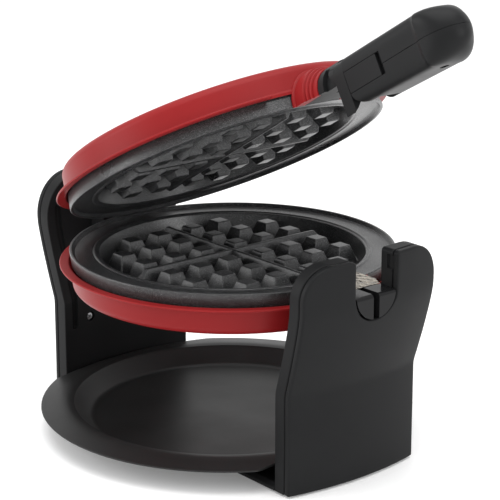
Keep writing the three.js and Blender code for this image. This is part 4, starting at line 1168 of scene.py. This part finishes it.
neck_foil = grid("neck_foil", 56, 64)
for point in neck_foil.data.vertices:
    u, v = point.co.x + 0.5, 2 * point.co.y
    x = between(COVER.start, COVER.end, u)
    rise = COVER.height + COVER.ripple * crumple(u, v, COVER_WAVES)
    point.co = Vector((x, v * ring_half(x), rise)) * MM
move_by(neck_foil, lower_place)
finish_sheet(neck_foil, COVER.thick)

# %% [markdown]
# The upper journal, the hinge carrier and the other small mouldings have simple shapes that the
# CAD solids already give. Copies of them get rounded edges. The width of the round is chosen for
# each: generous on mouldings, small on machined pieces.

# %% Small mouldings and metal parts
DRESSED = (
    ("upper_journal", 0.6, "lid", satin_black),
    ("hinge_carrier", 0.9, "lower_half", satin_black),
    ("axle_bearing_bush", 0.4, "stand", gloss_black),
    ("axle_retaining_ring", 0.2, "lower_half", steel),
    ("browning_control", 0.4, "stand", steel),
    ("base_plate", 0.6, "stand", satin_black),
    ("cord_gland", 0.5, "stand", rubber),
    ("hinge_pin", 0.4, "lower_half", steel),
    ("handle_pin", 0.4, "lid", steel),
    ("lower_reflector", 0.15, "lower_half", foil),
    ("upper_reflector", 0.15, "lid", foil),
    ("lower_heating_element", 0.1, "lower_half", steel),
    ("upper_heating_element", 0.1, "lid", steel),
    ("lower_thermostat", 0.5, "lower_half", steel),
    ("upper_thermostat", 0.5, "lid", steel),
)
for node, width, body, material in DRESSED:
    finish_piece(dressed(node, width), body, material, node)

# %% [markdown]
# The grip is lofted, as a carved handle is: rings of points stand along its length, each ring a
# rectangle with rounded corners, and neighbouring rings are bridged. The flat sides end in a
# soft ridge. Behind it the sides draw in at once, and the top and the bottom a little later.

# %% Grip form
GRIP = Sizes(
    start=155.8, ridge=226.0, ridge_width=4.5, shoulder=228.5, end=248.0, top=14.0, root_height=31.5,
    tail_height=34.3, close=15.5, root_half=16.2, flat_half=15.9, bulb_half=17.0, bulb_power=2.4,
    seam=-3.1, edge=6.0, bulb_edge=14.0,
)
RING_POINTS = 96


def ring_radius(turn, half, rise, edge):
    side, top = abs(math.cos(turn)), abs(math.sin(turn))
    power = 2 / (edge / min(half, rise))
    return ((side / half) ** power + (top / rise) ** power) ** (-1 / power)


def grip_ring(x, half, low, high, edge):
    bpy.ops.object.select_all(action="DESELECT")
    bpy.ops.mesh.primitive_circle_add(vertices=RING_POINTS)
    ring = named("grip ring")
    middle, rise = (high + low) / 2, (high - low) / 2
    for i, point in enumerate(ring.data.vertices):
        turn = math.tau * i / RING_POINTS
        reach = ring_radius(turn, half, rise, edge)
        point.co = Vector((x, reach * math.cos(turn), middle + reach * math.sin(turn))) * MM
    return ring


def lofted(rings):
    form = join(*rings)
    edit(form, "EDGE")
    bpy.ops.mesh.bridge_edge_loops()
    bpy.ops.mesh.select_all(action="DESELECT")
    bpy.ops.mesh.select_non_manifold()
    bpy.ops.mesh.edge_face_add()
    leave()
    return tidy_normals(form)


# %% [markdown]
# Four small functions give the rings their sizes and places: the height of the underside, half
# the width, how far the top and the bottom have drawn in, and where the rings stand. They stand
# closer together where the form turns faster.

# %% Grip rings along its length
def grip_low(x):
    share = (x - GRIP.start) / (GRIP.shoulder - GRIP.start)
    return GRIP.top - between(GRIP.root_height, GRIP.tail_height, min(share, 1))


def grip_half(x):
    flat = between(GRIP.root_half, GRIP.flat_half, (x - GRIP.start) / (GRIP.ridge - GRIP.start))
    if x <= GRIP.ridge:
        rise = max(0, 1 - (GRIP.ridge - x) / GRIP.ridge_width)
        return between(flat, GRIP.bulb_half, rise**2)
    past = min((x - GRIP.ridge) / (GRIP.end - GRIP.ridge), 1)
    return GRIP.bulb_half * math.sqrt(1 - past**GRIP.bulb_power)


def drawn_in(x):
    past = max(0, x - GRIP.shoulder) / (GRIP.end - GRIP.shoulder)
    return GRIP.close * (1 - math.sqrt(1 - min(past, 1) ** 2))


def ring_places():
    ridge_start = GRIP.ridge - GRIP.ridge_width
    places = [GRIP.start + (ridge_start - GRIP.start) * i / 8 for i in range(9)]
    places += [ridge_start + GRIP.ridge_width * i / 6 for i in range(1, 7)]
    bulb = GRIP.end - GRIP.ridge
    return places + [GRIP.ridge + bulb * math.sin(math.radians(5 * i)) for i in range(1, 18)]


def model_grip():
    rings = []
    for x in ring_places():
        past = max(0, x - GRIP.ridge) / (GRIP.end - GRIP.ridge)
        half, low, high = grip_half(x), grip_low(x) + drawn_in(x), GRIP.top - drawn_in(x)
        edge = min(between(GRIP.edge, GRIP.bulb_edge, past), 0.98 * half, 0.49 * (high - low))
        rings.append(grip_ring(x, half, low, high, edge))
    return lofted(rings)


# %% [markdown]
# The grip is two mouldings with a seam along their sides. Each is a copy of the form, sliced at
# the seam. The slot for the hub's tongue, the windows of the side plates, the round root and
# the screw's recess are cut into them, and then the edges are broken.

# %% Grip shells
FOLD = Sizes(x=165.0, z=-8.6, lobe=9.2, eye=6.4, tongue=8.6, sunk=3, slot_side=0.4, pin=2.9)
SIDE = Sizes(low=-9.0, high=4.6, end=187.0, gap=3.6, depth=2.4)
GRIP_SCREW = Sizes(x=222.0, radius=2.9, recess=3.0, scale=0.86)
BEHIND_GRIP = 150


def grip_cuts(shell):
    half = FOLD.tongue + FOLD.slot_side
    end, top = FOLD.x + FOLD.eye + CLEAR, FOLD.z + FOLD.eye + CLEAR
    cut(shell, block("tongue cutter", BEHIND_GRIP, end, -half, half, -BEYOND, top), solver="MANIFOLD")
    for way in (-1, 1):
        window = side_block(
            "window cutter", BEHIND_GRIP, SIDE.end + SIDE.gap, way, GRIP.root_half - SIDE.depth, BEYOND,
            SIDE.low - CLEAR, SIDE.high + CLEAR,
        )
        cut(shell, window, solver="MANIFOLD")


def root_cutter():
    corner = block("root cutter", BEHIND_GRIP, FOLD.x, -BEYOND, BEYOND, -BEYOND, FOLD.z)
    keeper = rod("root keeper", FOLD.lobe, "Y", -2 * BEYOND, 2 * BEYOND, (FOLD.x, 0, FOLD.z), 96)
    return cut(corner, keeper)


grip_form = model_grip()
grip_upper = copy_to(grip_form, "grip_upper", (0, 0, 0))
grip_lower = copy_to(grip_form, "grip_lower", (0, 0, 0))
bpy.data.objects.remove(grip_form)
slice_off(grip_upper, (0, 0, GRIP.seam + CLEAR / 2), (0, 0, -1))
slice_off(grip_lower, (0, 0, GRIP.seam - CLEAR / 2), (0, 0, 1))
for shell in (grip_upper, grip_lower):
    grip_cuts(shell)
cut(grip_lower, root_cutter(), solver="MANIFOLD")
screw_floor = GRIP.top - GRIP.tail_height + GRIP_SCREW.recess
recess = rod("screw recess cutter", GRIP_SCREW.radius, "Z", -BEYOND, screw_floor, (GRIP_SCREW.x, 0, 0), 48)
cut(grip_lower, recess, solver="MANIFOLD")
print("grip shells have", [len(shell.data.polygons) for shell in (grip_upper, grip_lower)], "faces")

# %% [markdown]
# The side plates lie flush in their windows, with a fine gap along them and a wider one at their
# front end. The grip turns about the fold pin, so its lower shell and both plates have a round
# root about that pin, cut by the same cutter.

# %% Side plates and the grip's finish
def side_plate(way):
    plate = side_block(
        "grip_cheek", GRIP.start, SIDE.end, way, GRIP.root_half - SIDE.depth + CLEAR, GRIP.root_half,
        SIDE.low, SIDE.high,
    )
    return cut(plate, root_cutter())


for shell, width, node in (
    (grip_upper, 0.5, "grip_upper_shell"), (grip_lower, 0.5, "grip_lower_shell"),
    (side_plate(-1), 0.12, "grip_side_plate_near"), (side_plate(1), 0.12, "grip_side_plate_far"),
):
    round_edges(shell, width, above=40)
    move_by(shell, closed_place)
    smooth(shell, under=30)
    shell.name = node + "_form"
    finish_piece(shell, "grip", grip_black, node)

# %% [markdown]
# The hub joins the grip to the lid. Its section is the grip's own, so that the two read as one
# handle, and the section is cut to the hub's side outline: upright behind, with a web reaching
# back over the journal, and a lip below that the folded grip clears. Its underside rises to the
# far side. The tongue that the grip turns on is a rounded block set into its front.

# %% Handle hub
HUB = Sizes(
    behind=130, ahead=170, web=140.6, web_low=0.5, web_high=9.0, web_radius=17.2, web_lap=0.01, back=146.0,
    front=155.5, lip=154.3, lip_high=0.6, below=1, low=-20.9, rise=7.8, corner=7.5,
)
WEB_HOLLOW = Sizes(half=13.2, low=-8, roof=2.6)


def side_cutter(name, points, half):
    bpy.ops.object.select_all(action="DESELECT")
    bpy.ops.mesh.primitive_circle_add(vertices=len(points), fill_type="NGON")
    cutter = named(name)
    for point, (x, z) in zip(cutter.data.vertices, points):
        point.co = Vector((x, -half, z)) * MM
    edit(cutter, "FACE")
    bpy.ops.mesh.extrude_region_move(TRANSFORM_OT_translate={"value": (0, 2 * half * MM, 0)})
    leave()
    return tidy_normals(cutter)


def hub_section(half):
    rings = [grip_ring(x, half, HUB.low, GRIP.top, HUB.corner) for x in (HUB.behind, HUB.ahead)]
    skirt = block("hub skirt", HUB.behind, HUB.ahead, -half, half, 2 * HUB.low, GRIP.seam)
    return cut(lofted(rings), skirt, "UNION")


def hub_outline():
    under = HUB.low - HUB.below
    return side_cutter("hub outline", [
        (HUB.back, under), (HUB.lip, under), (HUB.lip, HUB.low + HUB.lip_high),
        (HUB.front, FOLD.z - FOLD.lobe - CLEAR), (HUB.front, BEYOND), (HUB.web, BEYOND),
        (HUB.web, HUB.web_high), (HUB.back, HUB.web_low),
    ], BEYOND)


def web_keeper():
    web = rod("web keeper", HUB.web_radius, "X", HUB.behind, HUB.back, sides=96)
    front = block("front keeper", HUB.back - HUB.web_lap, HUB.ahead, -BEYOND, BEYOND, -BEYOND, BEYOND)
    return cut(front, web, "UNION")


half = GRIP.root_half
hub = block("hub", HUB.web, HUB.front, -half, half, HUB.low, GRIP.top)
for keeper in (hub_section(half), hub_outline(), web_keeper()):
    cut(hub, keeper, "INTERSECT")
slice_off(hub, (0, -half, HUB.low), (0, HUB.rise, -2 * half))
print("hub without its tongue has", len(hub.data.polygons), "faces")

# %% [markdown]
# The tongue's front end is a full round, because every edge of its block is bevelled by nearly
# its half height. The hub's web is hollow, because the upper journal's waist goes in there, and
# the fold pin passes through the tongue.

# %% Tongue, hollow and pin hole of the hub
NEARLY = 0.99


low, high = FOLD.z - FOLD.eye, FOLD.z + FOLD.eye
tongue = block("tongue", HUB.front - FOLD.sunk, FOLD.x + FOLD.eye, -FOLD.tongue, FOLD.tongue, low, high)
cut(hub, bevel_edges(tongue, every_edge, FOLD.eye * NEARLY, segments=12), "UNION")
half = WEB_HOLLOW.half
cut(hub, block("web hollow", HUB.behind, HUB.back, -half, half, WEB_HOLLOW.low, GRIP.top - WEB_HOLLOW.roof))
cut(hub, rod("fold pin cutter", FOLD.pin, "Y", -BEYOND, BEYOND, (FOLD.x, 0, FOLD.z), 32))
round_edges(hub, 0.4, above=40)
move_by(hub, closed_place)
smooth(hub, under=30)
hub.name = "handle_hub_form"
finish_piece(hub, "lid", grip_black, "handle_hub")

# %% [markdown]
# The browning wheel has fine ribs round its rim for the thumb. Its CAD node has the right form
# already, so its copy only gets softer edges. The feet are turned pads with a rounded rim.

# %% Browning wheel and feet
wheel = dressed("browning_wheel", 0.25, segments=2, above=30, under=20)
finish_piece(wheel, "browning_dial", satin_black, "browning_wheel")

PAD = Sizes(edge=0.8, hollow=0.3, ring=0.6, hollow_radius=0.5)
foot_low, foot_high = box_mm("foot_1")
foot_radius = (foot_high.x - foot_low.x) / 2
pad = turned("foot pad", [
    (0, foot_high.z), (foot_radius, foot_high.z),
    *arc(foot_radius - PAD.edge, PAD.edge, PAD.edge, 0, -90, 4), (foot_radius * PAD.ring, 0),
    (foot_radius * PAD.hollow_radius, PAD.hollow), (0, PAD.hollow),
], "Z", 48)
for number in range(1, 5):
    low, high = box_mm(f"foot_{number}")
    middle = (low + high) / 2
    foot = copy_to(pad, f"foot_pad_{number}", (middle.x, middle.y, 0))
    finish_piece(smooth(foot, under=40), "stand", rubber, f"foot_{number}")
bpy.data.objects.remove(pad)

# %% [markdown]
# Screws are modelled once. The head is a turned pan head, and a cross is cut into it. Copies go
# to the recesses in the towers, each turned differently, as screws end up when they are driven.
# The grip's screw is the same one, a little smaller.

# %% Screws
HEAD = Sizes(radius=3.0, depth=1.6, side=0.7, dome=0.9, cross=0.45, reach=1.7, cross_depth=0.9)
SHANK = Sizes(radius=1.4, length=6)
screw = turned("screw", [
    (0, -SHANK.length), (SHANK.radius, -SHANK.length), (SHANK.radius, 0), (HEAD.radius, 0),
    (HEAD.radius, HEAD.side), *arc(HEAD.radius - HEAD.dome, HEAD.side, HEAD.dome, 0, 90, 5),
    (0, HEAD.depth + 0.1),
], "X", 40)
for rise, half in ((HEAD.cross, HEAD.reach), (HEAD.reach, HEAD.cross)):
    cut(screw, block("cross cutter", HEAD.depth - HEAD.cross_depth, 4, -half, half, -rise, rise))
smooth(screw, under=30)

for node, turn in (
    ("front_tower_screw_1", 0.3), ("front_tower_screw_2", 1.1),
    ("rear_tower_screw_1", 0.7), ("rear_tower_screw_2", 0.1),
):
    low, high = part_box(node)
    facing = -1 if node.startswith("front") else 1
    head_face = low.x if facing < 0 else high.x
    middle = (low + high) / 2
    place = Matrix.Translation((head_face - facing * HEAD.depth * MM, middle.y, middle.z))
    flip = Matrix.Rotation(0 if facing > 0 else math.pi, 4, "Z")
    piece = copy_to(screw, node + "_head", (0, 0, 0))
    move_by(piece, place @ flip @ Matrix.Rotation(turn, 4, "X"))
    finish_piece(piece, "stand", steel, node)

grip_head = copy_to(screw, "grip_screw_head", (0, 0, 0))
move_by(grip_head, Matrix.Scale(GRIP_SCREW.scale, 4) @ Matrix.Rotation(math.pi / 2, 4, "Y"))
screw_seat = Vector((GRIP_SCREW.x, 0, screw_floor - CLEAR)) * MM
move_by(grip_head, closed_place @ Matrix.Translation(screw_seat))
finish_piece(grip_head, "grip", steel, "grip_screw")
bpy.data.objects.remove(screw)

# %% [markdown]
# The four lamp lenses are turned buttons with a domed face, seated in the housings' flat faces.

# %% Lamp lenses
LENS = Sizes(radius=4.0, seat=1.6, side=-0.4, edge=0.8, edge_middle=-0.2, face=-1.0, x=84, y=9)
lens_outline = [
    (0, LENS.seat), (LENS.radius, LENS.seat), (LENS.radius, LENS.side),
    *arc(LENS.radius - LENS.edge, LENS.edge_middle, LENS.edge, 0, -70, 5), (0, LENS.face),
]
for half, place, body in (("lower", lower_place, "lower_half"), ("upper", lid_place, "lid")):
    for name, y, material in (("power", -LENS.y, amber), ("ready", LENS.y, green)):
        lens = turned(f"{half}_{name}_lens_button", lens_outline, "Z", 48)
        move_by(lens, place @ Matrix.Translation(Vector((LENS.x, y, -DISH.depth)) * MM))
        smooth(lens, under=40)
        finish_piece(lens, body, material, f"{half}_{name}_lens")

# %% Helper for plain numbers of a box
def plain(box):
    return [[float(v) for v in corner] for corner in box]
